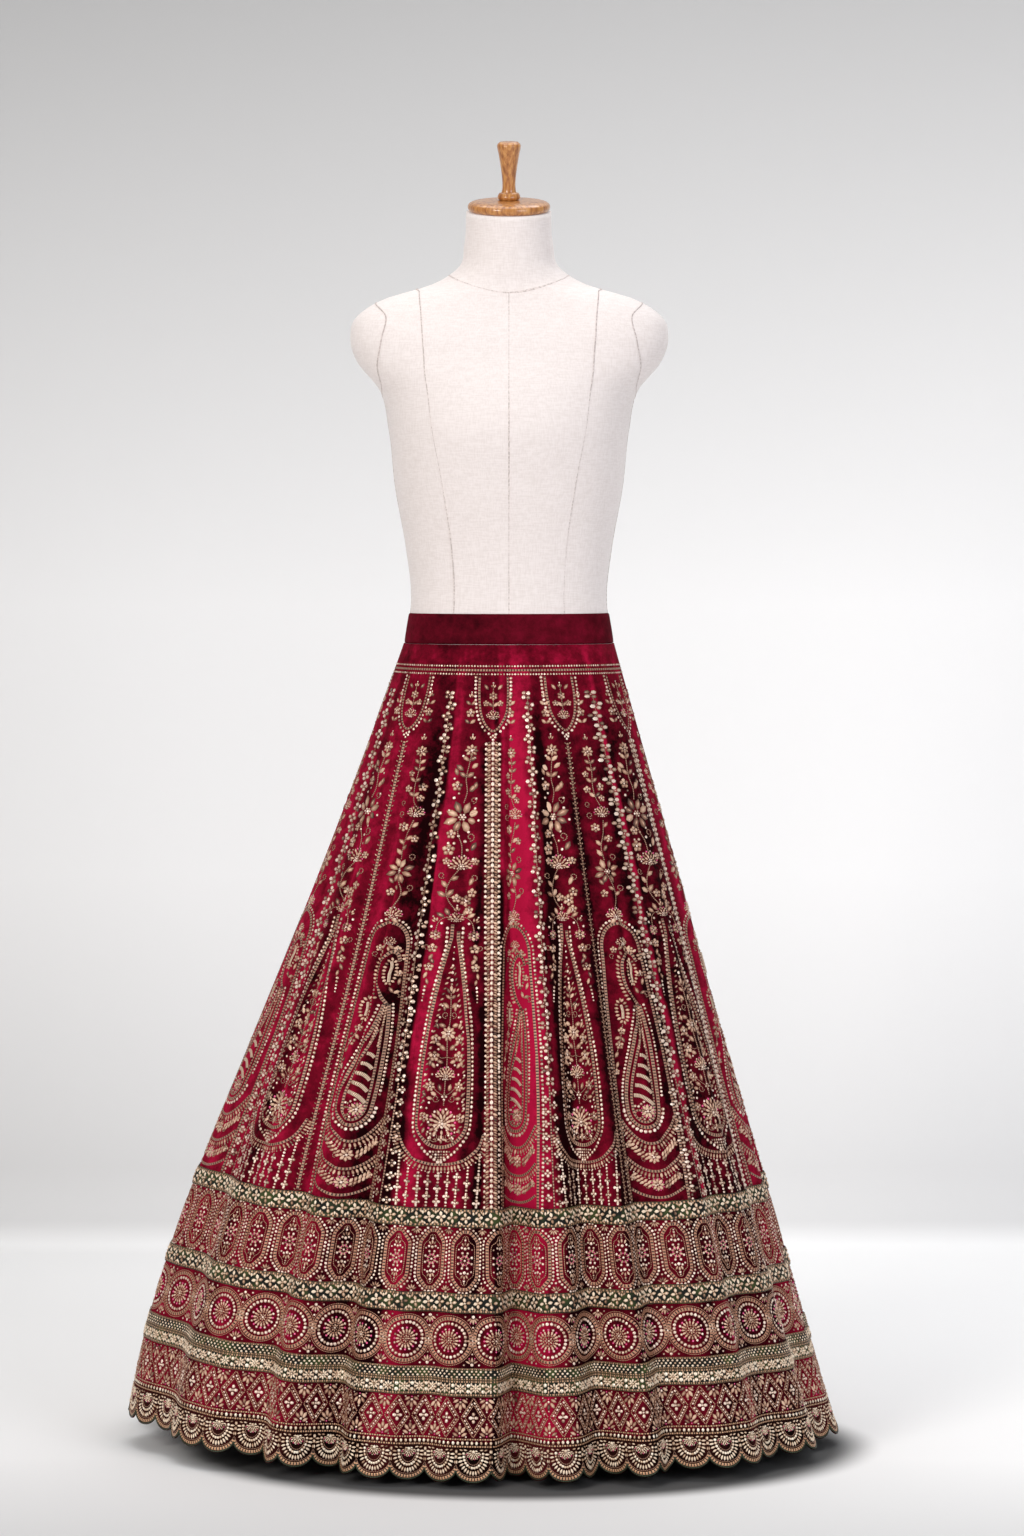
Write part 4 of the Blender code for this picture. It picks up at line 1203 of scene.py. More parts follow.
drop.stud("sequin", (0, -2.4, 2.4, 0), (453.5, 450.5, 450.5, 447.0), long=1.5, rise=1.4, tone=0.8)
drop.add(lotus(18.8, 13, spread=284, bright=0.68), 0, 418)
drop.stud("petal", 0, (407.5, 402.0, 397.0), 90, 3.0, 1.8, 1.3, 0.7)

# Small leaves line the inside of the ladder all the way round.
x, y, heading = spaced(drop_outline(26.0, 424.0, 611.0), 6.6)
drop.stud("petal", x, y, heading - 48, 2.7, 1.35, 1.2, 0.45)

teardrop = Motif()
# The swag below: ladder braid, loops of purl, then nine bead strings.
swag = drawn([(-44.5, 407), (-38, 389), (-27, 377), (-13, 371), (0, 369.5), (13, 371), (27, 377), (38, 389),
              (44.5, 407)])
teardrop.line("ladder", swag, 5.4, 0.7)
fringe(teardrop, swag, 5.4, 3.5)
for k in range(-4, 5):
    x = 10.3 * k
    top = np.interp(abs(x), (0, 13, 27, 38, 44.5), (359, 361, 366, 378, 392))
    beads = np.arange(EMBROIDERY_LOW + 2.5, top, 3.9)
    teardrop.stud("sequin", x, beads, long=1.5, tone=0.68)
    knots = (332.0, 349.0) if k % 2 else (325.5, 341.0, 356.0)
    for level in knots:
        teardrop.stud("sequin", (x - 2.3, x + 2.3, x, x), (level, level, level + 3.0, level - 2.8),
                      (0, 0, 90, 90), (1.9, 1.9, 2.3, 2.0), (1.8, 1.8, 1.6, 1.6), 1.5, (0.74, 0.5, 0.5, 0.66))

# Vines that hang beside the tip from a lotus with arms.
for side in (-1, 1):
    flipped = side < 0
    arm = [(0, 663), (side * 9, 667), (side * 17, 661), (side * 20, 648)]
    teardrop.line("cord", drawn(arm[::side]), 1.6, 0.8)
    teardrop.place((rosette(6, 6.4, pink_beads=True), side * 19.5, 645),
                   (tendril, side * 23.5, 631, -side * 90, 0.9, flipped), (small_rosette, side * 21.5, 629),
                   (leaf(3.4, 1.7), side * 21.0, 622, -90 + side * 25),
                   (leaf(3.4, 1.7), side * 23.0, 617, -90 - side * 30),
                   (small_rosette, side * 24.0, 606, 0, 0.95),
                   (leaf(3.6, 1.6), side * 25.5, 600, -90 + side * 20),
                   (leaf(3.2, 1.4), side * 26.0, 592, -90 - side * 16))
    teardrop.stud("sequin", side * np.array([26.6, 27.2, 27.8, 28.2, 28.6]), (582.0, 577.5, 573, 569, 565),
                  long=(1.8, 1.6, 1.4, 1.2, 1.1), tone=0.7)
    teardrop.place((leaf(4.4, 2.2), side * 6.5, 669, 90 - side * 30),
                   (leaf(4.2, 2.0), side * 11.5, 667, 90 - side * 60),
                   (bud(4.8), side * 19.5, 661, -side * 28))
    teardrop.stud("sequin", side * np.array([14.0, 24.0]), (659.5, 655.0), long=1.6, tone=0.8)
teardrop.place((lotus(9.0, 7), 0, 664), (bud(5.0), 0, 674))

# The stem from the teardrop's tip to the belt: lotus, star flower and small flowers on either side.
vine = Motif()
vine.line("cord", drawn([(0, 674), (-9, 686), (-13, 699), (-8, 714), (1, 728)]), 1.9, 1.0)
vine.place((leaf_pair(5.0, 2.5), -12.5, 692, 10), (leaf(4.5, 2.3), -12.0, 703, 130),
           (leaf(4.2, 2.2), -9.0, 712, 30), (rosette(6, 7.6), 9.5, 687))
vine.line("cord", drawn([(-11, 692), (-4, 690), (3, 687)]), 1.4, 0.8)
vine.place((small_rosette, -1.5, 690, 0, 0.98), (small_rosette, 16.0, 697, 0, 1.04),
           (small_rosette, 14.0, 676, 0, 0.98), (tendril, -15, 716, 55, 1.0, True),
           (tendril, 15, 712, -20), (leaf(4.5, 2.3), 12.5, 706, 70),
           (lotus(13.8, 9, spread=196), 1.0, 729), (small_rosette, -15.0, 735, 0, 0.85),
           (small_rosette, 17.5, 735, 0, 0.85))
vine.line("cord", drawn([(1, 742), (0, 755), (-5, 770), (-4, 784)]), 1.7, 0.9)
vine.place((small_rosette, -13.5, 749, 0, 1.34), (small_rosette, -12.0, 768, 0, 1.04))
vine.stud("sequin", (3.4, -8.0, 6.8), (759.5, 757, 749), long=1.9, tone=0.85)
vine.place((leaf(5.2, 2.8), 11.0, 748, 62), (tendril, 7.5, 760, -10, 1.25),
           (star_flower(18.6), -1.5, 789))
vine.stud("sequin", (17.5, -16), (785.5, 797), long=1.6, tone=0.8)
vine.line("cord", drawn([(-1, 806), (2, 820), (0, 836), (2, 852), (4, 866)]), 1.7, 0.9)
vine.stud("sequin", -11.5, 812.5, long=1.8, tone=0.85)
vine.place((tendril, 8.5, 806, -10), (rosette(5, 6.6), -9.0, 827), (leaf(5.0, 2.6), 4.0, 820, 48),
           (leaf(4.2, 2.3), 10.5, 823, 80), (leaf_pair(4.3, 2.2), 0.5, 838),
           (leaf(4.7, 2.4), -3.0, 846, 140), (leaf(4.2, 2.2), 5.0, 849, 40),
           (leaf_pair(4.1, 2.0), 2.5, 858), (rosette(8, 8.0), 4.0, 871))
vine.stud("sequin", (-14.5, -4.0, 6.5, 14.5, -15.5, 12.5), (757, 766, 771, 738, 782, 800), long=1.6,
          tone=0.8)
vine.stud("sequin", (-12.5, 13.0, -6.5, 9.5, -4.5, 8.0), (836, 812, 818, 838, 864, 862), long=1.5,
          tone=0.75)
vine.place((leaf(4.0, 2.0), -9.0, 840, 110), (bud(4.6), 4.0, 884))
teardrop_at = 0.5 * (GORE_SEAMS[1:-1:2] + GORE_SEAMS[2::2])
teardrop_width = 1 + 0.8 * ((GORE_SEAMS[2::2] - GORE_SEAMS[1:-1:2]) / 0.05 - 1)
teardrops = new_trays()
sew(teardrops, teardrop, teardrop_at, 0.0, widen=teardrop_width)
sew(teardrops, drop, teardrop_at, 0.0, widen=0.82 * teardrop_width)
sew(teardrops, vine, teardrop_at, 0.0, widen=0.5 + 0.5 * teardrop_width)
fix(teardrops, "teardrop_gores")

# ================================================================ paisley gores
# Odd gores carry an arched frame with a tall hooked paisley, two swags of flowers under it and a vine.
# The paisley's body is edged in ladder braid and crossed by padded bars of gold bullion wire.
paisley = Motif()
FRAME_LOW = EMBROIDERY_LOW + 1
frame_levels = np.array([FRAME_LOW, 400, 450, 500, 550, 590, 622])
frame_half = np.array([36.8, 36.6, 35.4, 33.0, 29.5, 26.4, 23.8])
side_levels = np.linspace(FRAME_LOW, 621, 36)
for outward, rows_of in ((0.0, "ladder"), (5.0, "sequin")):
    upright = np.stack([np.interp(side_levels, frame_levels, frame_half) + outward, side_levels], -1)
    arch = arc(0, 622, 23.8 + outward, 0, 90, 14, tall=34.0 + outward)
    for side in (-1, 1):
        path = np.concatenate([upright, arch]) * (side, 1)
        if rows_of == "ladder":
            paisley.line("ladder", path, 6.6, 0.7)
        else:
            x, y, heading = spaced(path, 4.9)
            paisley.stud("sequin", x, y, long=1.75, rise=1.1, tone=0.62)

# Body: up the left side into the neck, down the right side and round to the start; two rows of ladder.
body_left = drawn([(-22.5, 430), (-22.0, 446), (-18, 466), (-10.5, 490), (-2.5, 514), (4.0, 536),
                   (8.5, 556)], 6)
body_right = drawn([(13.5, 556), (16.0, 540), (17.8, 515), (18.3, 490), (18.3, 465), (17.6, 445),
                    (16.5, 430)], 6)
paisley.line("ladder", np.concatenate([body_right, arc(-3, 431, 19.5, -4, -176, 22, tall=23.0), body_left]),
             6.6, 0.8)
inside = np.concatenate([body_right[9:] - (6.4, 0), arc(-3, 431, 13.1, -6, -174, 18, tall=16.6),
                         body_left[:-9] + (6.4, 0)])
paisley.line("ladder", inside, 5.0, 0.7)
x, y, heading = spaced(drawn([(10.8, 552), (9.8, 540), (8.6, 528), (7.2, 516), (5.6, 504)]), 3.6)
for aside in (-0.5, 0.5):
    paisley.stud("petal", x + aside * np.linspace(2.0, 9.0, len(x)), y, 90 - 70 * aside, 2.1, 1.4, 1.1, 0.62)
for edge, aside in ((body_left, -4.9), (body_right[:-5], 4.9)):
    x, y, heading = spaced(edge + (aside, 0.0), 4.6)
    paisley.stud("sequin", x, y, long=1.7, rise=1.0, tone=0.68)
x, y, heading = spaced(arc(-3, 431, 24.6, -4, -176, 20, tall=28.2), 5.2)
paisley.stud("sequin", x, y, long=2.2, rise=1.2, tone=0.78)
for part in np.linspace(0, 1, 5):
    middle = np.array([4.8 - 7.0 * part, 494.0 - 51.0 * part])
    reach = 4.4 + 6.2 * part
    bow = drawn([middle + (-reach, 0.40 * reach), middle + (-0.3 * reach, 0.30 * reach),
                 middle + (0.35 * reach, -0.08 * reach), middle + (reach, -0.72 * reach)], 5)
    paisley.line("bullion", bow, 5.0 + 0.8 * part, 2.0)
paisley.add(rosette(9, 8.8, pink_beads=True, bright=0.7), 1.0, 427.5)
paisley.line("ladder", arc(-9.6, 424, 5.0, 0, 330, 18), 3.6, 0.9)
paisley.stud("sequin", (-13.0, -9.0, -5.5, -2.0, 7.5, 8.5, -4.0, 2.0),
             (434, 433.5, 436.5, 439, 437.5, 432, 418, 417.5), long=1.6, tone=0.62)

# Hook: a leaf-edged ring that holds a bar, and a smaller drop that hangs inside the curve.
hook = drawn([(11.5, 556), (3.5, 566), (-1.5, 580), (-3.5, 596), (-1.0, 611), (6.0, 620), (13.5, 618),
              (17.5, 609)], 6)
paisley.line("ladder", hook, 6.4, 0.8)
x, y, heading = spaced(hook[6:], 4.4)
paisley.stud("petal", *around(5.2, heading + 90, x, y), heading + 70, 3.0, 1.8, 1.2, 0.62)
drop_ring = arc(9.0, 596.0, 6.6, 90, 450, 30, tall=15.5)
x, y, heading = spaced(drop_ring[:-1], 4.2)
paisley.stud("petal", x, y, heading - 90, 2.2, 1.7, 1.1, 0.66)
paisley.line("bullion", drawn([(8.4, 609), (9.8, 602), (8.6, 593), (9.2, 583)], 5), 4.4, 1.8)
x, y, heading = spaced(arc(-11.0, 549.0, 6.6, 90, 450, 26, tall=14.0)[:-1], 4.3)
paisley.stud("petal", x, y, heading - 90, 2.7, 1.8, 1.1, 0.62)
paisley.line("bullion", drawn([(-11.2, 557), (-10.4, 549), (-11.4, 540)], 4), 4.4, 1.8)
paisley.place((leaf_pair(3.6, 1.7), 15.5, 570, -20), (tendril, 21.0, 566, -30),
              (leaf(3.8, 1.8), 19.5, 580, 75), (small_rosette, 19.5, 594, 0, 0.75))
paisley.line("cord", drawn([(-13, 534), (-15, 526), (-20, 512), (-26, 498)]), 1.5, 0.8)
paisley.place((small_rosette, -15.5, 525, 0, 0.85), (leaf_pair(3.4, 1.7), -18.0, 518, 160),
              (small_rosette, -21.0, 508, 0, 0.95), (leaf(3.6, 1.8), -24.0, 500, -125),
              (leaf(3.4, 1.6), -26.0, 488, -110), (small_rosette, -29.5, 476, 0, 0.7),
              (lotus(7.5, 7, pink_beads=False), 2.0, 631), (leaf_pair(3.6, 1.8), 2.0, 629, 180),
              (small_rosette, 12.0, 624, 0, 0.8), (small_rosette, -9.5, 624, 0, 0.8),
              (tendril, -10.5, 614, 30, 0.8, True))


def bowed(middle, ends, half):
    """A sagging line: height falls from the ends to the middle as a parabola."""
    x = np.linspace(-half, half, 33)
    return np.stack([x, middle + (ends - middle) * (x / half) ** 2], -1)


for middle, ends, half in ((388.5, 418.0, 33.5), (355.0, 373.0, 33.5)):
    line = bowed(middle, ends, half)
    paisley.line("ladder", line, 5.4, 0.7)
    fringe(paisley, line, 5.4, 4.0, long=3.3, wide=1.8)
for middle, ends, heart in ((371.0, 390.0, False), (338.0, 350.5, True)):
    line = bowed(middle, ends, 28.0)
    x, y, heading = spaced(line, 4.9, 1.0)
    keep = np.abs(x) > 8.0
    lean = 58 * np.sign(x[keep])
    for way in (-1, 1):
        paisley.stud("petal", x[keep] + 1.2, y[keep] + way * 2.3, heading[keep] + 90 - 90 * (1 + way) / 2
                     + way * 50 - lean * 0.2, 3.3, 1.9, 1.4, 0.7)
    paisley.add(rosette(8, 8.2, pink_beads=heart, bright=0.75), 0, middle + 1.0)
    for side in (-1, 1):
        paisley.place((tendril, side * 9.5, middle - 2.5, -side * 40, 0.75, side < 0),
                      (small_rosette, side * 29.0, ends - 2.5, 0, 0.75))
paisley.line("ladder", bowed(323.5, 335.0, 33.5), 5.4, 0.7)

# The vine above the arch.
paisley.place((lotus(11.5, 9, bright=0.7), 0.0, 664), (leaf_pair(4.0, 2.0), 0.0, 662, 180))
paisley.line("cord", drawn([(0, 674), (5, 692), (1, 708), (-2, 718)]), 1.6, 0.9)
paisley.place((leaf(3.8, 1.9), 5.0, 690, 35), (leaf(3.8, 1.9), 4.0, 697, 150), (tendril, 10.5, 696, -20),
              (small_rosette, -8.5, 693, 0, 0.9), (leaf(3.6, 1.8), -7.0, 704, 130),
              (star_flower(14.5), -1.0, 720))
paisley.line("cord", drawn([(-2, 733), (-3, 750), (2, 768), (5, 783)]), 1.7, 0.9)
paisley.place((leaf(4.2, 2.0), -3.0, 739, 128), (leaf(4.2, 2.0), -2.0, 745, 48), (tendril, 7.5, 734, -15),
              (leaf(3.8, 1.9), -2.0, 752, 135), (leaf(3.8, 1.9), 0.5, 758, 40),
              (small_rosette, 9.0, 760, 0, 0.85), (rosette(6, 6.2), -6.0, 774),
              (leaf(3.8, 1.9), 4.0, 774, 45), (lotus(10.5, 8), 5.0, 790),
              (tendril, -7.5, 786, 25, 1.0, True), (tendril, -8.5, 800, 25, 0.85, True))
paisley.line("cord", drawn([(4, 801), (0, 812), (-1, 826), (1, 846), (0, 862)]), 1.6, 0.9)
paisley.place((small_rosette, 7.5, 810, 0, 0.8), (leaf_pair(3.6, 1.8), 0.0, 812),
              (small_rosette, 8.0, 824, 0, 0.95), (small_rosette, -8.0, 821, 0, 0.85),
              (leaf_pair(3.6, 1.8), -1.0, 830), (small_rosette, -7.0, 840, 0, 0.75),
              (leaf_pair(3.4, 1.7), 1.0, 844), (leaf_pair(3.4, 1.7), 0.5, 853), (rosette(8, 7.4), 0.0, 868),
              (bud(4.6), 0.0, 882))
paisley_at = 0.5 * (GORE_SEAMS[:-1:2] + GORE_SEAMS[1::2])
paisley_width = 1 + 0.8 * ((GORE_SEAMS[1::2] - GORE_SEAMS[:-1:2]) / 0.05 - 1)
paisleys = new_trays()
# Bullion: tight coils of gold wire over padding, 1 mm to a coil and drawn at 1.6 mm.
bullion = braid_finish("gold_bullion", "#E2CAB0", "#926C54", 0.0016, 0.46)
paisleys["bullion"] = Tray()
sew(paisleys, paisley, paisley_at, 0.0, widen=paisley_width)
fix(paisleys, "paisley_gores", STITCH_MATERIALS | {"bullion": bullion})

# ================================================================ pendants and line under the waistband
# A U of ladder braid and sequins, filled with a small bouquet, tops every chevron band.
# The waistband itself is edged below by one couched line of braid and beads.
pendant = Motif()
loop = drawn([(-16.5, 962), (-17, 940), (-15, 918), (-8.5, 902), (0, 895), (8.5, 902), (15, 918), (17, 940),
              (16.5, 962)])
pendant.line("ladder", loop, 4.6, 0.7)
x, y, heading = spaced(loop, 4.6, 1.0)
pendant.stud("sequin", *around(4.6, heading - 90, x, y), long=1.8, rise=1.1, tone=0.75)
pendant.stud("sequin", (0, -2.6, 2.6, 0), (884.5, 887.5, 887.5, 889.5), long=1.6, tone=0.75)
pendant.add(lotus(8.5, 7), 0, 912)
pendant.line("cord", drawn([(0, 920), (0, 935), (0, 948)]), 1.5, 0.8)
pendant.place((leaf_pair(3.6, 1.7), 0, 925), (rosette(6, 5.6), 0, 938))
for side in (-1, 1):
    pendant.place((small_rosette, side * 8.5, 929, 0, 0.7),
                  (leaf(3.4, 1.6), side * 5.5, 946, 90 - side * 40))
pendant.add(bud(4.2), 0, 948)
upper = Motif()
upper.place((leaf_pair(3.4, 1.7), 0, 904), (small_rosette, 0, 917), (leaf_pair(3.4, 1.7), 0, 927),
            (bud(4.6), 0, 936))
WAIST_PIECES = 110
waist_line = Motif()
waist_line.line("ladder", np.stack([np.linspace(-3.65, 3.65, 3), np.full(3, 970.0)], -1), 5.0, 0.6)
waist_line.stud("sequin", (-1.8, 1.8, -1.8, 1.8), (965.0, 965.0, 975.0, 975.0), long=1.3, tone=0.65)
pendants = new_trays()
sew(pendants, pendant, chevron_at, 0.0)
sew(pendants, upper, paisley_at, 0.0)
sew(pendants, upper, teardrop_at, 0.0)
sew(pendants, waist_line, np.arange(WAIST_PIECES) / WAIST_PIECES, 0.0)
fix(pendants, "pendants")

# ================================================================ cartouche tier
# The first tier is filled with fifty-six tall cartouches: a long eight-sided frame of ladder braid round
# a cusped opening that holds a column of flowers.
# Fans of petals fill the gaps between their shoulders, above and below.
CARTOUCHES = 56
FIRST_CARTOUCHE = 0.0043  # as a share of the girth from the centre-front seam
# The tiers' thread is a shade browner than the gores'.
tier_gold = {
    "ladder": braid_finish("brown_ladder_braid", "#B88468", "#1A0406", 0.0036, 0.25),
    "cord": braid_finish("brown_zari_cord", "#BE8A6E", "#4A2414", 0.0022, 0.40),
}
cartouche = Motif()
opening = [(0, 29), (2.8, 27.5), (3.8, 24), (6.0, 21), (9.2, 18), (10.4, 12), (10.6, 0), (10.4, -12),
           (9.2, -18), (6.0, -21), (3.8, -24), (2.8, -27.5), (0, -29)]
ring = drawn(opening + [(-x, y) for x, y in opening[-2:0:-1]] + opening[:1], 4)
cartouche.line("cord", ring, 1.3, 0.9)
corner = np.array([(0, 33.6), (4.6, 33.0), (9.8, 27.0), (14.0, 20.4), (14.6, 12), (14.6, 0)])
quarter = np.concatenate([corner, corner[-2::-1] * (1, -1)])
frame_line = drawn(np.concatenate([quarter, quarter[-2::-1] * (-1, 1)]), 4)
cartouche.line("ladder", frame_line, 6.4, 0.8)
x, y, heading = spaced(frame_line * (1.3, 1.125), 4.4)
cartouche.stud("sequin", x[:-1], y[:-1], long=1.65, rise=1.1, tone=0.72)
lean = np.radians(np.arange(8) * 45 + 22.5)
c, s = np.cos(lean), np.sin(lean)
cartouche.stud("petal", 4.9 * c, 5.6 * s, np.degrees(lean), 2.7, 1.4, 1.4, 0.62)
cartouche.stud("sequin", 8.2 * c, 9.6 * s, long=1.6, rise=1.4, tone=0.72)
# Pink beads lie between the petals, about an eighth of a half turn further on.
cartouche.stud("pink", 4.6 * np.cos(lean + 0.39), 5.2 * np.sin(lean + 0.39), long=1.0, wide=0.8, rise=1.3)
cartouche.stud("sequin", 0, 0, long=1.5, rise=1.8, tone=0.8)
for way in (-1, 1):
    cartouche.stud("sequin", (0, -4.0, 4.0), np.array([14.0, 15.0, 15.0]) * way, long=(2.0, 1.5, 1.5),
                   rise=1.4, tone=0.85)
    cartouche.stud("petal", (0, -3.0, 3.0), np.array([20.0, 18.8, 18.8]) * way,
                   np.array([90, 118, 62]) * way, 2.7, 1.4, 1.2, 0.6)
    cartouche.stud("sequin", (0, -7.4, 7.4, 0), np.array([24.0, 13.0, 13.0, 26.8]) * way,
                   long=(1.5, 1.2, 1.2, 1.0), tone=0.6)
between = Motif()
for way in (-1, 1):
    lean = np.array([-64, -32, 0, 32, 64])
    between.stud("petal", 4.4 * np.sin(np.radians(lean)), way * (36.5 - 4.4 * np.cos(np.radians(lean))),
                 -90 * way + lean * way, 3.0, 1.2, 1.2, 0.55)
    between.stud("sequin", 0, way * 37.5, long=1.8, tone=0.7)
    between.stud("sequin", 0, 26.5 * way, long=1.3, tone=0.65)
MIDDLE_1 = 0.5 * (TAPES["tape_top"][1] + TAPES["tape_middle"][0])
tiers = new_trays()
places = np.arange(CARTOUCHES) / CARTOUCHES + FIRST_CARTOUCHE
sew(tiers, cartouche, places, MIDDLE_1)
sew(tiers, between, places + 0.5 / CARTOUCHES, MIDDLE_1)
fix(tiers, "cartouche_tier", STITCH_MATERIALS | tier_gold)

# ================================================================ roundel tier
# The second tier is a chain of roundels, each two rings of braid round a sixteen-rayed flower.
# A small star is worked where two roundels touch, and fans fill the corners.
ROUNDELS = 47
FIRST_ROUNDEL = 0.002
roundel = Motif()
roundel.line("ladder", arc(0, 0, 25.4, 0, 360, 40), 6.6, 0.9)
roundel.line("cord", arc(0, 0, 29.0, 0, 360, 40), 1.5, 0.8)
roundel.stud("sequin", *around(19.6, np.arange(27) * 360 / 27), long=2.05, rise=1.4, tone=0.72)
rays = np.arange(16) * 22.5
roundel.stud("petal", *around(9.4, rays), rays, 2.6, 1.35, 1.4, 0.88)
roundel.stud("pink", *around(12.7, rays[::2]), long=1.3, rise=1.3)
roundel.stud("sequin", *around(13.1, rays[1::2]), long=1.5, rise=1.2, tone=0.72)
roundel.line("ladder", arc(0, 0, 6.2, 0, 360, 24), 2.4, 1.0)
roundel.stud("petal", *around(3.2, rays[::2]), rays[::2], 1.8, 1.0, 1.5, 0.7)
roundel.stud("sequin", 0, 0, long=1.4, rise=2.0, tone=0.85)
joint = Motif()
joint.add(rosette(8, 7.0))
for way in (-1, 1):
    lean = np.array([-60, -30, 0, 30, 60])
    joint.stud("petal", 5.4 * np.sin(np.radians(lean)), way * (27.5 - 5.4 * np.cos(np.radians(lean))),
               -90 * way + lean * way, 3.3, 1.3, 1.2, 0.58)
    joint.stud("sequin", 0, 27.8 * way, long=2.0, tone=0.75)
    joint.stud("sequin", (0, -9, 9), np.array([15.5, 28.0, 28.0]) * way, long=1.3, tone=0.62)
    joint.stud("pink", (-3.4, 3.4), np.array([20.5, 20.5]) * way, long=0.8)
MIDDLE_2 = 0.5 * (TAPES["tape_middle"][1] + TAPES["tape_dotted"][0])
tiers = new_trays()
places = np.arange(ROUNDELS) / ROUNDELS + FIRST_ROUNDEL
sew(tiers, roundel, places, MIDDLE_2)
sew(tiers, joint, places + 0.5 / ROUNDELS, MIDDLE_2)
fix(tiers, "roundel_tier", STITCH_MATERIALS | tier_gold)

# ================================================================ diamond tier
# The third tier is a trellis of tall diamonds with a four-petalled flower in each.
# Palmettes stand up and hang down in the half diamonds between.
DIAMONDS = 88
FIRST_DIAMOND = 0.004
LOW_3, HIGH_3 = 51.5, 99.5
rise_3 = 0.5 * (HIGH_3 - LOW_3)
diamond = Motif()
corners = np.array([(0, rise_3 - 1), (14.6, 0), (0, 1 - rise_3), (-14.6, 0), (0, rise_3 - 1)])
for first, last in zip(corners[:-1], corners[1:]):
    side_line = first + (last - first) * np.linspace(0.02, 0.98, 6)[:, None]
    diamond.line("cord", side_line, 2.3, 0.8)
    diamond.line("cord", side_line * 0.66, 1.9, 0.7)
    x, y, heading = spaced(side_line * 0.83, 4.0, 2.0)
    diamond.stud("sequin", x, y, heading, 1.6, 1.2, 1.1, 0.72)
lean = 90 * np.arange(4)
c, s = around(1.0, lean)
diamond.stud("sequin", 3.3 * c, 4.2 * s, lean, 2.5, 2.0, 1.6, 0.78)
diamond.stud("sequin", 0, 0, long=1.2, rise=1.6, tone=0.9)
palmette = Motif()
for way in (-1, 1):
    base = rise_3 - 2.5
    palmette.stud("petal", (0, -4.0, 4.0), way * np.array([base - 10.0, base - 7.5, base - 7.5]),
                  np.array([90, 125, 55]) * -way, 4.2, 2.3, 1.4, 0.58)
    palmette.stud("petal", (-5.2, 5.2), way * np.array([base - 2.2, base - 2.2]),
                  np.array([150, 30]) * -way, 3.9, 2.1, 1.4, 0.52)
    palmette.stud("sequin", (0, -7.4, 7.4, 0),
                  way * np.array([base - 3.6, base + 0.4, base + 0.4, base - 14.5]),
                  long=(1.6, 1.1, 1.1, 1.1), tone=0.65)
    palmette.stud("pink", 0, way * (base - 0.2), long=0.9)
tiers = new_trays()
places = np.arange(DIAMONDS) / DIAMONDS + FIRST_DIAMOND
middle = 0.5 * (LOW_3 + HIGH_3) * MM
sew(tiers, diamond, places, middle)
sew(tiers, palmette, places + 0.5 / DIAMONDS, middle)
fix(tiers, "diamond_tier", STITCH_MATERIALS | tier_gold)

# ================================================================ ribbon embroidery
# The ribbons were worked before they were laid: sequin flowers in rows between two edge braids.
# The two upper ones are alike; the lower pair carry dots and small close flowers.
EDGE_PIECES = 480
EDGE_INSET = 0.0021
CROSS_PITCH = 0.0156
DOTS, CLOSE_FLOWERS = 470, 152


def edge_line(trays, level, wide, lift):
    """Sew a ladder braid right round the skirt at one height, as many short straight pieces."""
    made = Motif()
    half = 500.0 * girth_at(level) / EDGE_PIECES
    made.line("ladder", [(-half, 0.0), (0.0, 0.0), (half, 0.0)], wide, 0.6)
    sew(trays, made, np.arange(EDGE_PIECES) / EDGE_PIECES, level, lift)


cross = Motif()
lean = 10 + 90 * np.arange(4)
cross.stud("petal", *around(4.0, lean), lean, 3.0, 2.2, 1.7, (0.6, 0.95, 0.85, 0.5))
cross.stud("sequin", 0, 0, long=1.3, rise=1.8, tone=0.5)
gap_fill = Motif()
for way in (-1, 1):
    gap_fill.stud("petal", (-2.9, 2.9), 7.0 * way, np.array([130, 50]) * way, 2.6, 1.5, 1.3, 0.6)
    gap_fill.stud("petal", 0, 5.6 * way, -90 * way, 2.3, 1.5, 1.7, 0.95)
ribbons = new_trays()
for tape in ("tape_top", "tape_middle"):
    high, low = TAPES[tape]
    middle = 0.5 * (high + low)
    count = int(round(float(girth_at(middle)) / CROSS_PITCH))
    places = np.arange(count) / count
    sew(ribbons, cross, places, middle, RIBBON_FACE)
    sew(ribbons, gap_fill, places + 0.5 / count, middle, RIBBON_FACE)
    edge_line(ribbons, high - EDGE_INSET, 4.4, RIBBON_FACE)
    edge_line(ribbons, low + EDGE_INSET, 4.4, RIBBON_FACE)
dot = Motif()
dot.stud("petal", 0, 0, long=1.5, rise=1.2, tone=0.8)
for row, level in enumerate((0.1288, 0.1256, 0.1224)):
    sew(ribbons, dot, np.arange(DOTS) / DOTS + 0.5 * (row % 2) / DOTS, level, RIBBON_FACE)
high, low = TAPES["tape_flowered"]
close_flower = Motif()
rays = np.arange(8) * 45.0
close_flower.stud("petal", *around(3.6, rays), rays, 2.5, 1.3, 1.5, 0.85)
close_flower.stud("sequin", 0, 0, long=1.2, rise=1.8, tone=0.7)
middle = 0.5 * (high + low)
places = np.arange(CLOSE_FLOWERS) / CLOSE_FLOWERS
sew(ribbons, close_flower, places, middle, RIBBON_FACE)
filler = Motif()
filler.stud("sequin", 0, (-3.4, 3.4), long=2.4, rise=1.5, tone=0.9)
for side in (-1, 1):
    filler.stud("petal", side * 3.4, (-4.6, 0.0, 4.6), 90, 2.2, 1.2, 1.1, 0.6)
sew(ribbons, filler, places + 0.5 / CLOSE_FLOWERS, middle, RIBBON_FACE)
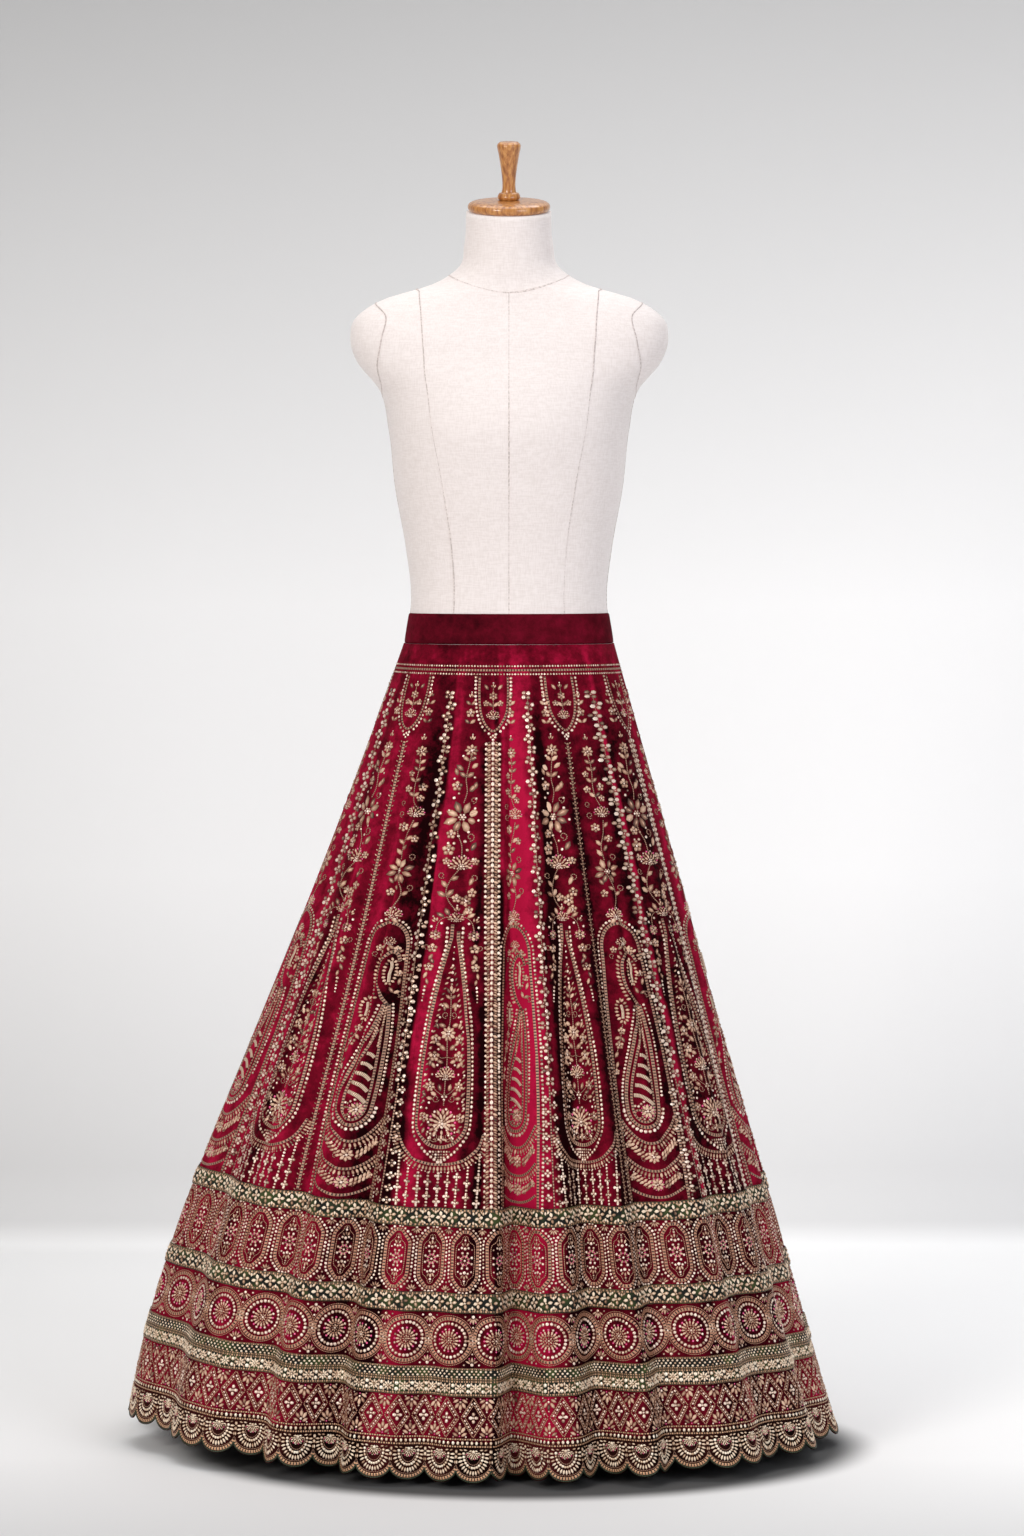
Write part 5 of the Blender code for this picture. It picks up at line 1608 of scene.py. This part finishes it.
for level, wide in ((0.1314, 2.6), (0.1200, 2.8), (0.1170, 3.6), (0.1017, 3.8)):
    edge_line(ribbons, level, wide, RIBBON_FACE)
# Their thread is an older, yellower gold than the gores'.
ribbon_gold = {
    "sequin": sequin_finish("yellow_sequins", "#4E3424", "#C09A78", "#FFF2DC"),
    "petal": zari_finish("yellow_couched_zari", "#523828", "#BC9474", "#FBE6CC"),
    "ladder": braid_finish("tan_ladder_braid", "#C09672", "#0E120A", 0.0034, 0.27),
}
fix(ribbons, "ribbons", STITCH_MATERIALS | ribbon_gold)

# ================================================================ scalloped hem
# Each scallop is a fan: bars radiate from a flower at its head, inside two arcs of beads.
# A dark green cord binds the cut edge, and a line of oval pearls runs above the scallops.
scallop = Motif()
CUP_LEVEL = 33.0
PEARLS = 510


def cup(radius, count, spread):
    """Places round the lower part of an ellipse, a third taller than wide: x, y and heading outward."""
    lean = -90 + np.linspace(-0.5, 0.5, count) * spread
    x, y = radius * np.cos(np.radians(lean)), CUP_LEVEL + 1.33 * radius * np.sin(np.radians(lean))
    return x, y, lean


x, y, lean = cup(16.1, 17, 184)
scallop.stud("petal", x, y, lean, 3.0, 1.4, 1.5, 0.84)
x, y, lean = cup(11.4, 14, 190)
scallop.stud("sequin", x, y, long=1.75, rise=1.2, tone=0.72)
x, y, lean = cup(8.8, 21, 196)
scallop.line("cord", np.stack([x, y], -1), 1.4, 0.8)
scallop.add(lotus(8.6, 9, bright=0.62), 0, CUP_LEVEL + 2.6, turn=180)
scallop.stud("sequin", (0, -3.2, 3.2), CUP_LEVEL + np.array([3.6, 4.4, 4.4]), long=(1.9, 1.2, 1.2), rise=1.6,
             tone=0.8)
for side in (-1, 1):
    scallop.stud("petal", side * np.array([19.6, 19.6, 19.4, 14.5, 9.5]), (36.6, 30.6, 24.4, 38.4, 38.4),
                 90 - side * np.array([0, 0, 0, 70, 80]), 2.3, 1.1, 1.3, 0.55)
across = np.linspace(-1, 1, 19)
edge = scallop_cut(across) / MM
half = 500.0 * float(girth_at(0.006)) / SCALLOPS
scallop.line("ladder", np.stack([across * half * 0.985, edge + 4.5], -1), 5.4, 0.9)
scallop.line("cord", np.stack([across * half * 0.985, edge + 7.8], -1), 1.2, 0.8)
hem_edge = Motif()
hem_edge.line("cord", np.stack([across * half, edge + 1.4], -1), 2.4, 1.2)
pearls = Motif()
pearls.stud("sequin", 0, 46.4, 90, 2.3, 1.7, 1.4, 0.74)
hem_work = new_trays()
places = (np.arange(SCALLOPS) + 0.5) / SCALLOPS
sew(hem_work, scallop, places, 0.0)
sew(hem_work, pearls, np.arange(PEARLS) / PEARLS, 0.0)
for level, wide in ((0.0507, 3.2), (0.0424, 3.4)):
    edge_line(hem_work, level, wide, CLOTH)
fix(hem_work, "scallops", STITCH_MATERIALS | ribbon_gold | {
    "ladder": braid_finish("gold_ladder_braid", "#CE9E78", "#120806", 0.0034, 0.27)})
edging = new_trays()
sew(edging, hem_edge, places, 0.0)
fix(edging, "cut_edge", {"cord": braid_finish("green_silk_cord", "#36422A", "#121A10", 0.0026, 0.40)})

# ================================================================ floor, wall, camera and light
# A plain matt sweep: a pale floor runs into a light grey wall 1.7 m behind the stand.
# The camera stands 6 m off at chest height; one large soft light comes from the left front.
sweep, tree, shader = finish("matt_paper_sweep", Roughness=0.9)
where = node(tree, "ShaderNodeTexCoord").outputs["Object"]
parts = node(tree, "ShaderNodeSeparateXYZ", {"Vector": where})
level = node(tree, "ShaderNodeMapRange", {"Value": parts.outputs["Z"], "From Min": 0.0, "From Max": 2.0})
tint = ramp(tree, level.outputs["Result"], (0.004, "#FDFDFD"), (0.018, "#E2E2E2"), (0.11, "#ECECEC"),
            (0.29, "#FCFCFC"), (0.5, "#FAFAFA"), (1.0, "#B8B8B8"))
# The left of the sweep and the floor towards the camera are a shade greyer, and a contact shadow is painted
# dark close round the foot of the skirt, as a floor lit from all round would show there.
side = node(tree, "ShaderNodeMapRange", {"Value": parts.outputs["X"], "From Min": -0.8, "From Max": 0.8,
                                         "To Min": 0.84, "To Max": 1.0})
nearer = node(tree, "ShaderNodeMapRange", {"Value": parts.outputs["Y"], "From Min": -0.62, "From Max": -0.15,
                                           "To Min": 0.78, "To Max": 1.0})
rounder = node(tree, "ShaderNodeVectorMath", {0: where, 1: (1.0, 1.2, 1.0)}, operation="MULTIPLY")
from_foot = node(tree, "ShaderNodeVectorMath", {0: rounder.outputs["Vector"], 1: (0.015, -0.08, 0.0)},
                 operation="DISTANCE")
painted_contact_shadow = node(tree, "ShaderNodeMapRange", {"Value": from_foot.outputs["Value"], "From Min": 0.375,
                                              "From Max": 0.443, "To Min": 0.09, "To Max": 1.0},
                 interpolation_type="SMOOTHSTEP")
shade = node(tree, "ShaderNodeMath", {0: side.outputs["Result"], 1: painted_contact_shadow.outputs["Result"]},
             operation="MULTIPLY")
shade = node(tree, "ShaderNodeMath", {0: shade.outputs[0], 1: nearer.outputs["Result"]},
             operation="MULTIPLY")
shaded_tint = node(tree, "ShaderNodeVectorMath", {0: tint, "Scale": shade.outputs[0]}, operation="SCALE")
fibres = node(tree, "ShaderNodeTexNoise", {"Vector": where, "Scale": 40.0, "Detail": 3.0})
emboss(tree, shader, fibres.outputs["Fac"], 0.05, 0.001)
tree.links.new(shaded_tint.outputs["Vector"], shader.inputs["Base Color"])

# The sweep's profile: along the floor, round a small cove, then up the wall.
WALL, COVE, NEAR_EDGE, WALL_TOP, HALF_SWEEP = 1.66, 0.12, -9.0, 4.5, 7.0
cove = np.linspace(0, 0.5 * math.pi, 13)
depth = np.r_[NEAR_EDGE, WALL - COVE + COVE * np.sin(cove), WALL]
rise = np.r_[0.0, COVE - COVE * np.cos(cove), WALL_TOP]
width = np.array([-HALF_SWEEP, HALF_SWEEP])
sweep_points = np.stack([np.tile(width, len(depth)), np.repeat(depth, 2), np.repeat(rise, 2)], -1)
floor = make_mesh("paper_sweep", sweep_points, grid_quads(len(depth), 2, joined=False)[:, ::-1], sweep)

lens = bpy.data.cameras.new("camera")
lens.sensor_width = 36.0
lens.lens = 114.94
lens.clip_end = 60.0
camera = bpy.data.objects.new("camera", lens)
camera.location = (0.0037, -6.0, 1.10)
camera.rotation_euler = (math.radians(90.0 - 2.643), 0.0, 0.0)
bpy.context.scene.collection.objects.link(camera)
bpy.context.scene.camera = camera


def soft_light(name, place, aim, size, power, tint):
    """A square area light at place, turned to face aim."""
    lamp = bpy.data.lights.new(name, "AREA")
    lamp.shape = "RECTANGLE"
    lamp.size, lamp.size_y = size
    lamp.energy = power
    lamp.color = paint(tint)[:3]
    made = bpy.data.objects.new(name, lamp)
    made.location = place
    way = np.array(aim) - np.array(place)
    across = math.hypot(way[0], way[1])
    made.rotation_euler = (math.atan2(across, -way[2]), 0.0, math.atan2(-way[0], way[1]))
    bpy.context.scene.collection.objects.link(made)


soft_light("key", (-2.8, -4.2, 2.6), (0.0, 0.0, 0.8), (1.6, 2.2), 130.0, "#FFFAF5")
soft_light("fill", (3.0, -4.0, 2.2), (0.0, 0.0, 0.8), (2.4, 2.4), 80.0, "#F6F8FF")
soft_light("top", (0.0, 0.2, 4.2), (0.0, 0.2, 0.0), (3.4, 3.0), 70.0, "#FFFFFF")
soft_light("back", (0.6, 1.45, 3.6), (0.2, 1.0, 0.0), (3.0, 0.5), 14.0, "#FFFFFF")

world = bpy.data.worlds.new("studio")
world.use_nodes = True
world.node_tree.nodes["Background"].inputs["Color"].default_value = paint("#F2F3F5")
world.node_tree.nodes["Background"].inputs["Strength"].default_value = 0.35
bpy.context.scene.world = world
bpy.context.scene.view_settings.view_transform = "Standard"
